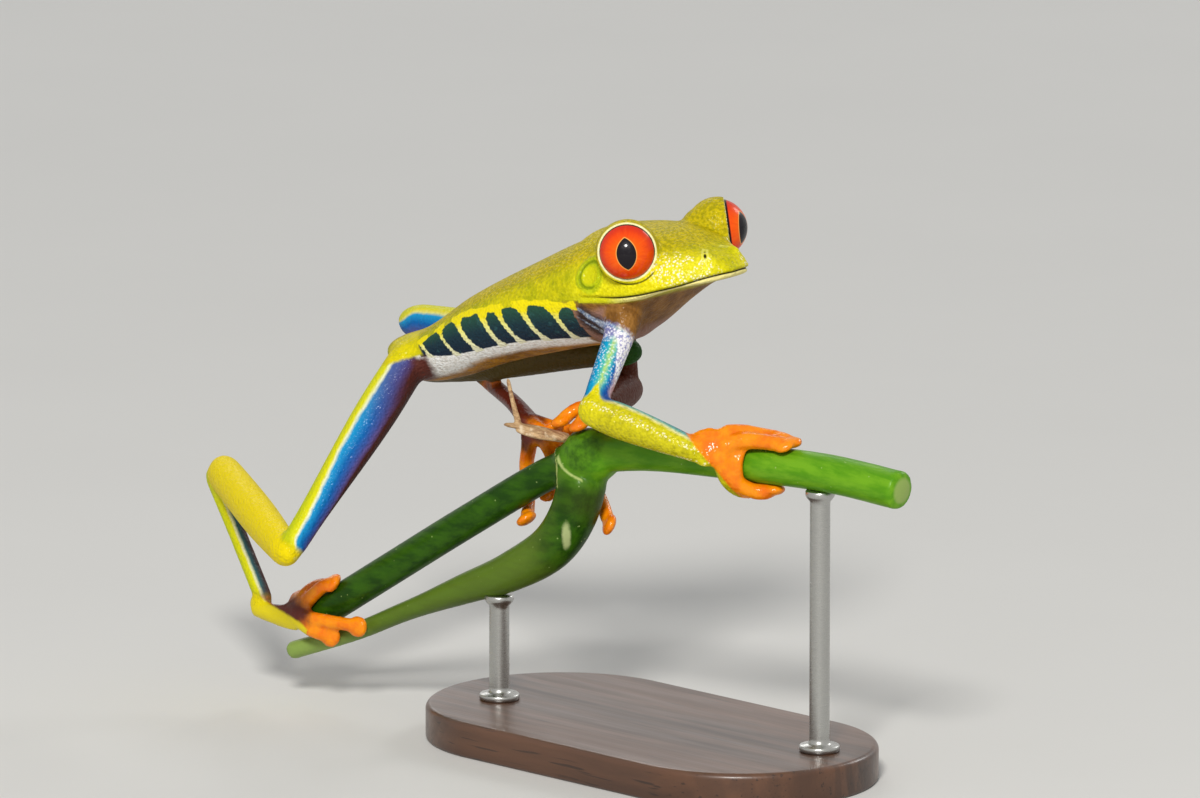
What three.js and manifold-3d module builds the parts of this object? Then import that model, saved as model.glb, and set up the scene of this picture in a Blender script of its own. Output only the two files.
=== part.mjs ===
// A life-size red-eyed tree frog stepping along a vine, on a plain display stand.
// Millimetres, +Z up, +X the way the head faces, +Y the frog's left.
import * as THREE from "three";
import { ParametricGeometry } from "three/addons/geometries/ParametricGeometry.js";
import { mergeVertices } from "three/addons/utils/BufferGeometryUtils.js";
import Module from "manifold-3d";

const wasm = await Module();
wasm.setup();

const v = (x, y, z) => new THREE.Vector3(x, y, z);
const radians = THREE.MathUtils.degToRad;

// Driving dimensions.
const gap = 0.3; // between neighbouring pieces
const eyeRadius = 2.9;
const eyeHalfSpacing = 6.3;
const eyeLine = v(22.7, 3.3, 53.65); // midway between the eyes
const headRoll = radians(2.2); // the left eye is a little higher
const gazeAngle = radians(47); // each eye's axis, from straight ahead
const lidPlane = 1.1; // how far from the eyeball's middle the lids end
const lidThick = 0.25;
const digit = { root: 0.75, tip: 0.55, pad: 1.1, padThick: 0.45 };
const stem = { rear: 1.65, front: 1.9, node: 2.9, petiole: 1.5, cut: 55 };
const stand = { length: 52, width: 27, thick: 3.5, bevel: 0.6, top: 6, x: 24.5, y: -1.5 };
const rod = { radius: 1, xs: { rear: 7, front: 45 } };

// The joints that set the pose.
const joint = {
  hipRight: v(-5.4, -5.4, 38.8),
  kneeRight: v(-9.1, -18.8, 20.5),
  heelRight: v(-29.8, -8, 24),
  ankleRight: v(-21.4, -10.3, 12.4),
  hipLeft: v(-7.2, -1.1, 37.5),
  kneeLeft: v(14, 6.1, 40.7),
  heelLeft: v(-13.9, 3.3, 40),
  ankleLeft: v(-2.1, 2.8, 35.6),
  shoulderRight: v(21.4, -2.2, 45.8),
  elbowRight: v(22.6, -7.8, 38.1),
  wristRight: v(33.9, -4.4, 35.2),
  shoulderLeft: v(11, 7.4, 46),
  elbowLeft: v(9.3, 10.4, 35.5),
  wristLeft: v(15, 1.4, 36.4),
};

const look = (color, roughness, metalness = 0) => (
  new THREE.MeshStandardMaterial({ color, roughness, metalness })
);
const material = {
  skin: look(0xa9b414, 0.45),
  iris: look(0xd8401a, 0.12),
  hand: look(0xf07a10, 0.4),
  stem: look(0x4f8f2a, 0.5),
  bract: look(0x8a6a48, 0.8),
  base: look(0x33251b, 0.5),
  rod: look(0xb0b0ae, 0.35, 1),
};

// --- solids ---

// A closed geometry as a solid that can be joined and cut, turned to face out.
function closed(geometry, place = new THREE.Matrix4()) {
  const bare = new THREE.BufferGeometry();
  bare.setAttribute("position", geometry.getAttribute("position").clone());
  bare.setIndex(geometry.index ? geometry.index.clone() : null);
  const merged = mergeVertices(bare.applyMatrix4(place), 1e-4);
  const corners = new Uint32Array(merged.index.array);
  const build = () => new wasm.Manifold(new wasm.Mesh({
    numProp: 3,
    vertProperties: new Float32Array(merged.attributes.position.array),
    triVerts: corners,
  }));
  const made = build();
  if (made.volume() > 0) return made;
  for (let i = 0; i < corners.length; i += 3) {
    [corners[i + 1], corners[i + 2]] = [corners[i + 2], corners[i + 1]];
  }
  return build();
}

const group = new THREE.Group();

// Adds a solid to the group as a named mesh.
function add(name, made, finish) {
  const got = made.getMesh();
  const geometry = new THREE.BufferGeometry();
  geometry.setAttribute("position", new THREE.BufferAttribute(new Float32Array(got.vertProperties), 3));
  geometry.setIndex(new THREE.BufferAttribute(new Uint32Array(got.triVerts), 1));
  geometry.computeVertexNormals();
  const node = new THREE.Mesh(geometry, finish);
  node.name = name;
  group.add(node);
}

// Reads a row of [at, value, value ...] stations at t, with smooth steps between them.
function between(stations, t) {
  const last = stations.length - 1;
  const k = Math.max(0, Math.min(last - 1, stations.findLastIndex((s) => s[0] <= t)));
  const [a, b] = [stations[k], stations[k + 1]];
  const before = stations[Math.max(k - 1, 0)];
  const after = stations[Math.min(k + 2, last)];
  const step = b[0] - a[0];
  const f = Math.min(1, Math.max(0, (t - a[0]) / step));
  const [f2, f3] = [f * f, f * f * f];
  return a.slice(1).map((value, i) => {
    const slopeIn = ((b[i + 1] - before[i + 1]) / (b[0] - before[0])) * step;
    const slopeOut = ((after[i + 1] - value) / (after[0] - a[0])) * step;
    return value * (2 * f3 - 3 * f2 + 1) + slopeIn * (f3 - 2 * f2 + f)
      + b[i + 1] * (3 * f2 - 2 * f3) + slopeOut * (f3 - f2);
  });
}

// Where a row of a flat-ended length lies: the first two rows and the last two are at its ends.
const bluntAt = (length, rows) => Math.min(1, Math.max(0, (length * rows - 1) / (rows - 2)));

// A length along a curve. A station is [0..1 along, half width, height, depth]; `up` is the way the
// height points, and the depth is the height where it isn't given. Each end rounds over the share
// `cap` of the length, or is cut flat if `cap` is 0.
function limb(points, stations, { up = v(0, 0, 1), around = 10, along = 8, cap = 0.1 } = {}) {
  const curve = new THREE.CatmullRomCurve3(points, false, "centripetal");
  return closed(new ParametricGeometry((across, length, target) => {
    const t = cap ? 0.5 - 0.5 * Math.cos(Math.PI * length) : bluntAt(length, along);
    const end = cap ? Math.min(t, 1 - t, cap) / cap : Math.min(length, 1 - length) * along;
    const round = Math.sqrt(Math.max(0, 1 - (1 - Math.min(1, end)) ** 2));
    const [wide, high, low = high] = between(stations, t);
    const tangent = curve.getTangentAt(t);
    const side = v(0, 0, 0).crossVectors(up, tangent).normalize();
    const rise = v(0, 0, 0).crossVectors(tangent, side);
    const angle = 2 * Math.PI * (across % 1);
    target.copy(curve.getPointAt(t))
      .addScaledVector(side, round * wide * Math.cos(angle))
      .addScaledVector(rise, round * (angle < Math.PI ? high : low) * Math.sin(angle));
  }, around, along));
}

// The same stations made thicker all round.
const grown = (stations, extra = gap) => (
  stations.map(([at, ...sizes]) => [at, ...sizes.map((size) => size + extra)])
);

// A ball squeezed to three half sizes, the third along `axis`.
function blob(centre, [x, y, z], axis = v(0, 0, 1), detail = 14) {
  const turn = new THREE.Quaternion().setFromUnitVectors(v(0, 0, 1), axis.clone().normalize());
  const place = new THREE.Matrix4().compose(centre, turn, v(x, y, z));
  return closed(new THREE.SphereGeometry(1, detail, Math.round(detail * 0.6)), place);
}

const ball = (centre, radius, detail) => blob(centre, [radius, radius, radius], v(0, 0, 1), detail);

// Keeps what lies half a gap beyond a plane, on the side that `towards` points to.
function keepSide(made, point, towards) {
  const n = towards.clone().normalize();
  return made.trimByPlane([n.x, n.y, n.z], n.dot(point) + gap / 2);
}

// Parts two lengths that meet at a bend, on the plane halfway through it.
function parted(before, after, from, at, to) {
  const along = at.clone().sub(from).normalize().add(to.clone().sub(at).normalize());
  return [keepSide(before, at, along.clone().negate()), keepSide(after, at, along)];
}

// --- head ---

// Sections along x from the eye line: half width at the mouth, mouth height, top, throat depth.
const headStations = [
  [-9.5, 6.6, -5.8, 0.2, -10.6],
  [-4.7, 7.6, -5.1, 1, -10.3],
  [-1.2, 7.3, -4.8, 1.3, -7.4],
  [1.2, 6.7, -4.35, 1.2, -5],
  [2.8, 6, -3.9, 0.8, -4.2],
  [5.2, 4.7, -3.15, 0.05, -3.4],
  [7, 3.3, -2.45, -0.55, -2.95],
  [7.9, 2.3, -2.15, -1, -2.7],
  [8.4, 1.7, -2.05, -1.25, -2.5],
];

const lipTall = 0.5;
// How square the sections are: the powers of the width and of the height above and below the mouth.
const squareness = { topWidth: 0.78, lowWidth: 0.9, arch: 0.85, lip: 0.5, pouch: 2.5 };

// One half of the head, above (+1) or below (-1) the mouth line, closed by a flat at the mouth.
// The upper half is a squarish arch, the lower one a steep lip with a pouch inside it.
function headHalf(sign, from, to) {
  const square = sign > 0 ? squareness.topWidth : squareness.lowWidth;
  const arcShare = 0.66;
  return closed(new ParametricGeometry((across, length, target) => {
    const x = from + (to - from) * Math.sin((Math.PI / 2) * length);
    const inside = (distance) => Math.min(1, Math.max(0, distance / 0.8));
    const end = Math.sqrt(inside(to - x) * inside(x - from));
    const [wide, mouth, top, throat] = between(headStations, x);
    const tall = sign > 0 ? top - mouth : mouth - throat;
    const rim = mouth + (sign * gap) / 2;
    const u = across % 1;
    if (u >= arcShare) {
      target.set(x, end * wide * (-1 + (2 * (u - arcShare)) / (1 - arcShare)), rim);
      return;
    }
    const angle = (Math.PI * u) / arcShare;
    const c = Math.cos(angle);
    const y = end * wide * Math.sign(c) * Math.abs(c) ** square;
    const s = Math.abs(Math.sin(angle));
    const arch = tall * s ** squareness.arch;
    const pouch = Math.min(lipTall, tall) * s ** squareness.lip
      + Math.max(tall - lipTall, 0) * s ** squareness.pouch;
    target.set(x, y, rim + sign * end * (sign > 0 ? arch : pouch));
  }, 20, 12));
}

const napeX = -9;
const snoutX = 8.4;
const sides = { right: -1, left: 1 };
const headPlace = new THREE.Matrix4().makeRotationX(headRoll).setPosition(eyeLine);
const inHead = (made) => made.transform(headPlace.elements);
const neckPoint = v(-6.2, 0, 0).applyMatrix4(headPlace);
const neckNormal = v(1, 0, 0.25);

const browSize = [2.8, 2.4, 2.7];
const opening = { wide: 4.4, deep: 2.1 }; // what is cut away in front of the lids

// The skull half with its brows and lids, hollowed for the eyeballs.
function skull() {
  let made = headHalf(1, napeX, snoutX);
  for (const side of Object.values(sides)) {
    const gaze = v(Math.cos(gazeAngle), side * Math.sin(gazeAngle), 0.1).normalize();
    const eye = v(0, side * eyeHalfSpacing, 0);
    const brow = v(-1, side * (eyeHalfSpacing - 1.3), -0.35);
    const bare = eye.clone().addScaledVector(gaze, lidPlane + opening.deep);
    made = made.add(blob(brow, browSize, v(0, 0, 1), 10));
    made = made.add(ball(eye, eyeRadius + gap + lidThick, 12));
    made = made.subtract(ball(eye, eyeRadius + gap, 12));
    made = made.subtract(blob(bare, [opening.wide, opening.wide, opening.deep], gaze, 10));
  }
  return keepSide(made, v(snoutX, 0, -2.05), v(-0.36, 0, 1));
}

const jawHalf = () => headHalf(-1, napeX, snoutX - 0.2);

add("head", keepSide(inHead(skull()), neckPoint, neckNormal), material.skin);
add("jaw", keepSide(inHead(jawHalf()), neckPoint, neckNormal), material.skin);
for (const [name, side] of Object.entries(sides)) {
  add(`eye_${name}`, inHead(ball(v(0, side * eyeHalfSpacing, 0), eyeRadius, 15)), material.iris);
}

// --- trunk ---

const trunkPath = [
  v(-10.3, -3.1, 38.6), v(-4, -2, 40.4), v(2, -1, 43),
  v(8, 0.2, 45.6), v(14, 1.6, 47.9), v(20, 2.9, 49.6),
];
const trunkStations = [
  [0, 2.8, 1.3, 3],
  [0.15, 4.2, 1.6, 3.8],
  [0.27, 4.8, 2.3, 4.1],
  [0.4, 5.4, 3.2, 4.3],
  [0.65, 6.4, 4.1, 5.2],
  [0.85, 6.9, 5, 5.9],
  [1, 6.8, 5.6, 5.7],
];
const trunkShape = { around: 18, along: 14, cap: 0.09 };
const trunk = limb(trunkPath, trunkStations, trunkShape);
add("trunk", keepSide(trunk, neckPoint, neckNormal.clone().negate()), material.skin);

// The trunk and throat grown by the gap, for the limbs to be cut back to.
const trunkGrown = limb(trunkPath, grown(trunkStations), trunkShape);
const jawGrown = inHead(jawHalf()).translate([0, 0, -gap]);

// --- arms and legs ---

// Half width and half height along each length, from the body outwards.
const girth = {
  thigh: [[0, 2.1, 2.3], [0.35, 2.1, 2.4], [0.8, 1.4, 1.5], [1, 1.3, 1.35]],
  shank: [[0, 1.4, 1.6], [0.4, 1.8, 2.1], [0.8, 1.7, 2], [1, 1.5, 1.7]],
  tarsus: [[0, 1, 1.05], [0.4, 0.9, 0.95], [1, 0.9, 0.9]],
  upper_arm: [[0, 1.9, 1.8], [0.5, 1.4, 1.4], [1, 1.2, 1.2]],
  forearm: [[0, 1.5, 1.5], [0.35, 1.8, 1.75], [1, 1.15, 1.05]],
};

// The lengths between a row of joints, each cut back from the next and the last from the paw.
function lengths(names, joints, palm) {
  const length = (name, from, to, extra = 0) => {
    const way = to.clone().sub(from).normalize();
    const start = from.clone().addScaledVector(way, -girth[name][0][1]);
    const end = to.clone().addScaledVector(way, girth[name].at(-1)[1]);
    return limb([start, end], grown(girth[name], extra));
  };
  const made = names.map((name, i) => length(name, joints[i], joints[i + 1]));
  for (let i = 1; i < made.length; i += 1) {
    [made[i - 1], made[i]] = parted(made[i - 1], made[i], joints[i - 1], joints[i], joints[i + 1]);
  }
  const firstGrown = length(names[0], joints[0], joints[1], gap);
  for (let i = 0; i < made.length; i += 1) {
    made[i] = made[i].subtract(trunkGrown);
    if (i > 1) made[i] = made[i].subtract(firstGrown);
  }
  const [wrist, beforeWrist] = [joints.at(-1), joints.at(-2)];
  const way = wrist.clone().sub(beforeWrist).normalize().add(palm.clone().sub(wrist).normalize());
  made[made.length - 1] = keepSide(made.at(-1), wrist, way.clone().negate());
  return { made, way };
}

// --- perch ---

const nodeCentre = v(17, -2.3, 31.9);
const rearPath = [v(-16.4, -8, 11.2), v(-7, -6.9, 17.2), v(3.2, -5.3, 23.8), v(12, -3.4, 29.4), nodeCentre];
const frontPath = [
  nodeCentre, v(24.5, -1.6, 33.2), v(36.4, 0.3, 33.7), v(46, 1.6, 33.9), v(stem.cut, 2.5, 33.4),
];
const petiolePath = [
  v(16.6, -2.9, 30), v(15.8, -3.6, 26), v(13.6, -4.2, 22.6), v(8.5, -4.8, 19.3),
  v(2.2, -5.5, 16.5), v(-5.6, -6.5, 13), v(-10.6, -7.4, 10.6), v(-18.8, -9.3, 7.4),
];

const stemShape = { around: 12, along: 9, cap: 0 };
const rearStations = [[0, stem.rear, stem.rear], [1, stem.rear, stem.rear]];
const rearStem = limb(rearPath, rearStations, stemShape);
const frontStem = limb(frontPath, [[0, 1.8, 1.8], [1, stem.front, stem.front]], stemShape);
const petiole = limb(
  petiolePath,
  [[0, 2.5, 2.5], [0.25, 2.2, 2.2], [0.45, 1.6, 1.7], [0.65, 1, 1.2], [1, 0.9, 1]],
  { ...stemShape, along: 15, up: v(0, 1, 0) },
);
const rearWay = v(-1, -0.2, -0.5);
const frontWay = v(1, 0.1, 0.15);
const underWay = v(0, 0, -1);
const nodeReach = { stem: 2.6, petiole: 2.2 };
const nodeEnd = (way, reach = nodeReach.stem) => (
  nodeCentre.clone().addScaledVector(way.clone().normalize(), reach)
);
const petioleEnd = nodeEnd(underWay, nodeReach.petiole);
const nodeSize = [3.4, 2.6, 2.75];
let node = blob(nodeCentre, nodeSize, v(0, 0, 1), 12);
node = node.add(limb([nodeEnd(rearWay, 4), nodeCentre], [[0, 2, 2], [1, 2.4, 2.4]]));
node = keepSide(node, nodeEnd(rearWay), rearWay.clone().negate());
node = keepSide(node, nodeEnd(frontWay), frontWay.clone().negate());
node = keepSide(node, petioleEnd, underWay.clone().negate());
add("perch_node", node, material.stem);
add("perch_stem_rear", keepSide(rearStem, nodeEnd(rearWay), rearWay), material.stem);
add("perch_stem_front", keepSide(frontStem, nodeEnd(frontWay), frontWay), material.stem);
const rearGrown = limb(rearPath, grown(rearStations), stemShape);
add("perch_petiole", keepSide(petiole.subtract(rearGrown), petioleEnd, underWay), material.stem);

// The dry bract on the node, with its upright bristle.
const bractRoot = v(15, -3.4, 33.4);
const bractTip = v(8.4, -6, 34.3);
const bractStations = [[0, 0.8, 0.6], [0.6, 0.65, 0.5], [1, 0.35, 0.35]];
const bristlePath = [v(9.9, -5.3, 34.2), v(9.2, -5.5, 36.7), v(8.6, -5.6, 38.9)];
const bristleStations = [[0, 0.35, 0.35], [1, 0.26, 0.26]];
const bract = limb([bractRoot, bractTip], bractStations, { around: 8 })
  .add(limb(bristlePath, bristleStations, { up: v(0, 1, 0), around: 6, along: 5 }))
  .subtract(blob(nodeCentre, nodeSize.map((size) => size + gap)));
add("perch_bract", bract, material.bract);

// --- hands and feet ---

// Axes and radii that digits are kept clear of.
const perchAxes = [
  { curve: new THREE.CatmullRomCurve3(rearPath, false, "centripetal"), radius: stem.rear },
  { curve: new THREE.CatmullRomCurve3(frontPath, false, "centripetal"), radius: stem.front },
  { curve: new THREE.CatmullRomCurve3(petiolePath, false, "centripetal"), radius: stem.petiole },
  { curve: new THREE.CatmullRomCurve3([nodeEnd(rearWay), nodeEnd(frontWay)]), radius: stem.node },
].map(({ curve, radius }) => ({ row: curve.getSpacedPoints(60), radius }));

const nearest = (row, point) => (
  row.reduce((best, p) => (p.distanceTo(point) < best.distanceTo(point) ? p : best))
);

// Moves a point out of the perch until `room` lies between it and the perch's surface.
function clear(point, room) {
  const moved = point.clone();
  for (const { row, radius } of [...perchAxes, ...perchAxes]) {
    const axis = nearest(row, moved);
    const short = radius + room - axis.distanceTo(moved);
    if (short > 0) moved.addScaledVector(moved.clone().sub(axis).normalize(), short);
  }
  return moved;
}

// The way out from the nearest stem.
function outward(point) {
  const nearby = perchAxes.map(({ row, radius }) => ({ axis: nearest(row, point), radius }));
  nearby.sort((a, b) => a.axis.distanceTo(point) - a.radius - b.axis.distanceTo(point) + b.radius);
  return point.clone().sub(nearby[0].axis).normalize();
}

// A finger or toe laid over the perch, with its round pad.
function finger(points) {
  const route = new THREE.CatmullRomCurve3(points, false, "centripetal").getSpacedPoints(4);
  const laid = route.map((p) => clear(p, digit.root + gap));
  const tip = clear(points.at(-1), digit.padThick + gap);
  const shape = [[0, digit.root, digit.root], [1, digit.tip, digit.tip]];
  const up = outward(laid[2]);
  return limb(laid, shape, { up, around: 6, along: 4 })
    .add(blob(tip, [digit.pad, digit.pad, digit.padThick], outward(tip), 7));
}

// A hand or foot: its palm from the wrist or ankle, then its digits, all from near the palm's end.
function paw(name, { palm, shape, digits }, wrist, way) {
  const laid = palm.map((p) => clear(p, 0.6 + gap));
  const up = outward(laid[1]);
  const knuckle = laid.at(-1).clone().lerp(laid.at(-2), 0.2);
  let made = keepSide(limb(laid, shape, { up, around: 8, along: 5 }), wrist, way);
  for (const points of digits) {
    made = made.add(finger([knuckle, ...points]));
  }
  add(name, made, material.hand);
}

const handShape = [[0, 1, 0.8], [0.5, 1.9, 0.8], [1, 1.5, 0.7]];
const footShape = [[0, 0.8, 0.8], [0.5, 1, 0.8], [1, 1.6, 0.7]];
const paws = {
  hand_right: {
    palm: [v(33.2, -4.5, 35.3), v(34.8, -3.5, 35.5), v(35.8, -2.8, 35)],
    shape: handShape,
    digits: [
      [v(35.2, -1.9, 36.7), v(38.4, 0.6, 36.6), v(41.4, 0.9, 36.4)],
      [v(36.4, -2, 36.1), v(39, -0.7, 36.4), v(41.4, -0.1, 36.3)],
      [v(35.8, -2.7, 33.8), v(36.6, -1.9, 32.2), v(37.8, -0.4, 31.5), v(39.4, 0.6, 31.5)],
      [v(35.6, -2.7, 33.8), v(35.9, -1.8, 32.1), v(36.4, 0, 31.3), v(36.6, 1.6, 31.7)],
    ],
  },
  hand_left: {
    palm: [v(14.6, 1.8, 36.4), v(15.6, -0.2, 35.9), v(16.2, -0.8, 35.6)],
    shape: handShape.map(([at, wide, high]) => [at, 0.8 * wide, high]),
    digits: [
      [v(15, -1, 36.2), v(14.3, -2.2, 35.9), v(13.8, -3.3, 35)],
      [v(16.2, -1.2, 36.2), v(16.4, -2.4, 35.9), v(16.5, -3.5, 35.05)],
      [v(17.4, -0.4, 35.6), v(19, 0.6, 34.8), v(20.6, 0.6, 34)],
      [v(16.2, 0.6, 35), v(16.6, 1.2, 33.4), v(17, 1.4, 31.6)],
    ],
  },
  foot_right: {
    palm: [v(-22.4, -10.6, 11.7), v(-18.8, -10.6, 11.3), v(-15.8, -10.6, 11.7)],
    shape: footShape,
    digits: [
      [v(-15.6, -10, 13), v(-14.6, -9.6, 14.2), v(-12.7, -8.6, 15)],
      [v(-14, -10.4, 11.6), v(-12, -10, 11.6), v(-9.2, -8.8, 11.4)],
      [v(-15, -10.6, 10.8), v(-14, -10.5, 10.4), v(-12.4, -9.6, 10)],
      [v(-16.4, -9.4, 13.4), v(-16, -7.8, 14.2), v(-15, -6.2, 13.6)],
      [v(-17.2, -9.6, 12.4), v(-17.8, -7.8, 12.6), v(-17.2, -6.2, 12)],
    ],
  },
  foot_left: {
    palm: [v(-3, 3, 35.7), v(3.6, 0.4, 34.6), v(8.4, -1.8, 33.4)],
    shape: footShape,
    digits: [
      [v(7.4, -1.4, 31.6), v(6.8, -1.2, 29.4), v(7.4, -1.6, 26.4), v(9.6, -4, 24.6)],
      [v(9, -1, 32), v(9.6, -0.4, 30.4), v(10, -1.4, 27)],
      [v(10, -0.8, 32.6), v(12.4, 0.4, 30.4), v(15.2, 0.6, 27), v(18, -0.8, 24.8)],
      [v(9.8, -0.6, 33.4), v(11.2, 0.9, 33), v(12.6, 1.9, 32.4)],
      [v(9.6, -2.4, 33.6), v(10.6, -2.6, 33.4), v(11.4, -2, 33.6)],
    ],
  },
};

const chains = {
  hand: { names: ["upper_arm", "forearm"], joints: ["shoulder", "elbow", "wrist"] },
  foot: { names: ["thigh", "shank", "tarsus"], joints: ["hip", "knee", "heel", "ankle"] },
};
for (const side of ["Right", "Left"]) {
  for (const [end, chain] of Object.entries(chains)) {
    const suffix = side.toLowerCase();
    const joints = chain.joints.map((name) => joint[name + side]);
    const shape = paws[`${end}_${suffix}`];
    const { made, way } = lengths(chain.names, joints, shape.palm[1]);
    if (end === "hand") made[0] = made[0].subtract(jawGrown);
    chain.names.forEach((name, i) => add(`${name}_${suffix}`, made[i], material.skin));
    paw(`${end}_${suffix}`, shape, joints.at(-1), way);
  }
}

// --- stand ---

// A stadium-shaped plate with rounded edges.
const plate = new THREE.Shape();
const halfStraight = (stand.length - stand.width) / 2;
const round = stand.width / 2 - stand.bevel;
plate.absarc(halfStraight, 0, round, -Math.PI / 2, Math.PI / 2);
plate.absarc(-halfStraight, 0, round, Math.PI / 2, (3 * Math.PI) / 2);
plate.closePath();
const plateSolid = closed(
  new THREE.ExtrudeGeometry(plate, {
    depth: stand.thick - 2 * stand.bevel,
    bevelThickness: stand.bevel,
    bevelSize: stand.bevel,
    bevelSegments: 1,
    curveSegments: 10,
  }),
  new THREE.Matrix4().makeTranslation(stand.x, stand.y, stand.top - stand.thick + stand.bevel),
);
add("stand_base", plateSolid, material.base);

// Each rod reaches from the plate to the underside of the perch above it.
for (const [name, axis] of [["rear", perchAxes[2]], ["front", perchAxes[1]]]) {
  const off = (p) => Math.abs(p.x - rod.xs[name]);
  const above = axis.row.reduce((best, p) => (off(p) < off(best) ? p : best));
  const bottom = stand.top + gap;
  const top = above.z - stem.front - 2 * gap;
  const place = new THREE.Matrix4().makeRotationX(Math.PI / 2);
  place.setPosition(above.x, above.y, (top + bottom) / 2);
  const shaft = new THREE.CylinderGeometry(rod.radius, rod.radius, top - bottom, 16);
  add(`stand_rod_${name}`, closed(shaft, place), material.rod);
}

// The origin goes to the middle of the bottom of the whole part.
const box = new THREE.Box3().setFromObject(group);
const centre = box.getCenter(v(0, 0, 0));
group.position.set(-centre.x, -centre.y, -box.min.z);

export default group;
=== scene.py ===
# A life-size red-eyed tree frog on a vine: one skin, two eyes, the vine and its stand.
import math
import bpy
import numpy as np
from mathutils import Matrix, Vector


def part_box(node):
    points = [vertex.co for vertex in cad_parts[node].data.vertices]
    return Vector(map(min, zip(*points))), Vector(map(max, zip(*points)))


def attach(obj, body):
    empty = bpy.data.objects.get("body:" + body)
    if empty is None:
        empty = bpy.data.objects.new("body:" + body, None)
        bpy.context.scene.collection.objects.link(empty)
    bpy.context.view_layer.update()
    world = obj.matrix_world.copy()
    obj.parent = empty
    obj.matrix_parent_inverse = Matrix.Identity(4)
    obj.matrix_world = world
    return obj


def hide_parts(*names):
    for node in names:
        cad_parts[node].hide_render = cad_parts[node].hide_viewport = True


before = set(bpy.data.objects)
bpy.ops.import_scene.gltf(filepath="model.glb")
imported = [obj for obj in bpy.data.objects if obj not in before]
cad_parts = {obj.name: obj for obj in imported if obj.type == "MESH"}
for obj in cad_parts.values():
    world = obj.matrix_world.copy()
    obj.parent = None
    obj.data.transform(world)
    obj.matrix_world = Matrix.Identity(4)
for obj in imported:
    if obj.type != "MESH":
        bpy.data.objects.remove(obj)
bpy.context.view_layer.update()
scene = bpy.context.scene
print("frame loaded")

# places: every length below is in mm, in the frame the solids were drawn in

base = {"middle": (24.5, -1.5, 4.25), "length": 52, "width": 27, "thick": 3.5, "top": 6.0,
        "edge": 0.6, "foot": 0.35, "facets": 9}


def arr(*rows):
    return np.array(rows[0] if len(rows) == 1 else rows, float)


def unit(vectors):
    return vectors / np.linalg.norm(vectors, axis=-1, keepdims=True)


def smooth(values, low, high):  # 0 below low, 1 above high, an S between them
    t = np.clip((values - low) / (high - low), 0, 1)
    return t * t * (3 - 2 * t)


def bump(values, width):  # 1 at zero, falling off like a bell
    return np.exp(-((values / width) ** 2))


def lengths(vectors):
    return np.linalg.norm(vectors, axis=1)


def least(*values):
    return np.minimum.reduce(values)


lowCorner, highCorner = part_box("stand_base")
shift = (arr(lowCorner) + arr(highCorner)) * 500 - arr(base["middle"])


def toFrame(points):  # drawing mm to metres in the frame
    return (np.asarray(points) + shift) / 1000


# meshes from arrays

def meshObject(name, points, *faceSets, metres=True):
    # points and one or more face arrays, each with its own number of corners
    mesh = bpy.data.meshes.new(name)
    corners = np.concatenate([faces.ravel() for faces in faceSets]).astype(np.int32)
    sizes = np.concatenate([np.full(len(faces), faces.shape[1]) for faces in faceSets])
    starts = np.concatenate([[0], np.cumsum(sizes)[:-1]]).astype(np.int32)
    mesh.vertices.add(len(points))
    mesh.vertices.foreach_set("co", (toFrame(points) if metres else points).astype(np.float32).ravel())
    mesh.loops.add(len(corners))
    mesh.loops.foreach_set("vertex_index", corners)
    mesh.polygons.add(len(sizes))
    mesh.polygons.foreach_set("loop_start", starts)
    mesh.update(calc_edges=True)
    mesh.polygons.foreach_set("use_smooth", np.ones(len(sizes), bool))
    made = bpy.data.objects.new(name, mesh)
    scene.collection.objects.link(made)
    return made


def closedRings(rings, first, last):
    # rows of rings joined by triangles, and drawn to a point at each end
    rows, around = rings.shape[:2]
    points = np.vstack([rings.reshape(-1, 3), first, last])
    here = np.arange(rows * around).reshape(rows, around)
    beside = np.roll(here, -1, 1)
    quads = np.stack([here[:-1], beside[:-1], beside[1:], here[1:]], -1).reshape(-1, 4)
    start = np.full(around, rows * around)
    fans = [np.stack([start, beside[0], here[0]], -1), np.stack([start + 1, here[-1], beside[-1]], -1)]
    return points, np.vstack([quads[:, [0, 1, 2]], quads[:, [0, 2, 3]], *fans])


def route(points, count):
    # a centripetal curve through the points, read at even steps of its length
    p = arr(points)
    if len(p) == 2:
        return p[0] + (p[1] - p[0]) * np.linspace(0, 1, count)[:, None]
    e = np.vstack([2 * p[0] - p[1], p, 2 * p[-1] - p[-2]])
    knots = np.concatenate([[0], np.cumsum(lengths(np.diff(e, axis=0)) ** 0.5)])
    u = np.linspace(knots[1], knots[-2], 60 * len(p))
    k = np.clip(np.searchsorted(knots, u, side="right") - 1, 1, len(e) - 3)
    t = [knots[k + j][:, None] for j in (-1, 0, 1, 2)]
    q = [e[k + j] for j in (-1, 0, 1, 2)]
    u = u[:, None]

    def mix(i, j, a, b):
        return (t[j] - u) / (t[j] - t[i]) * a + (u - t[i]) / (t[j] - t[i]) * b
    a = [mix(i, i + 1, q[i], q[i + 1]) for i in range(3)]
    b = [mix(i, i + 2, a[i], a[i + 1]) for i in range(2)]
    curve = mix(1, 2, b[0], b[1])
    length = np.concatenate([[0], np.cumsum(lengths(np.diff(curve, axis=0)))])
    even = np.linspace(0, length[-1], count)
    return np.stack([np.interp(even, length, curve[:, j]) for j in range(3)], 1)


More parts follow.
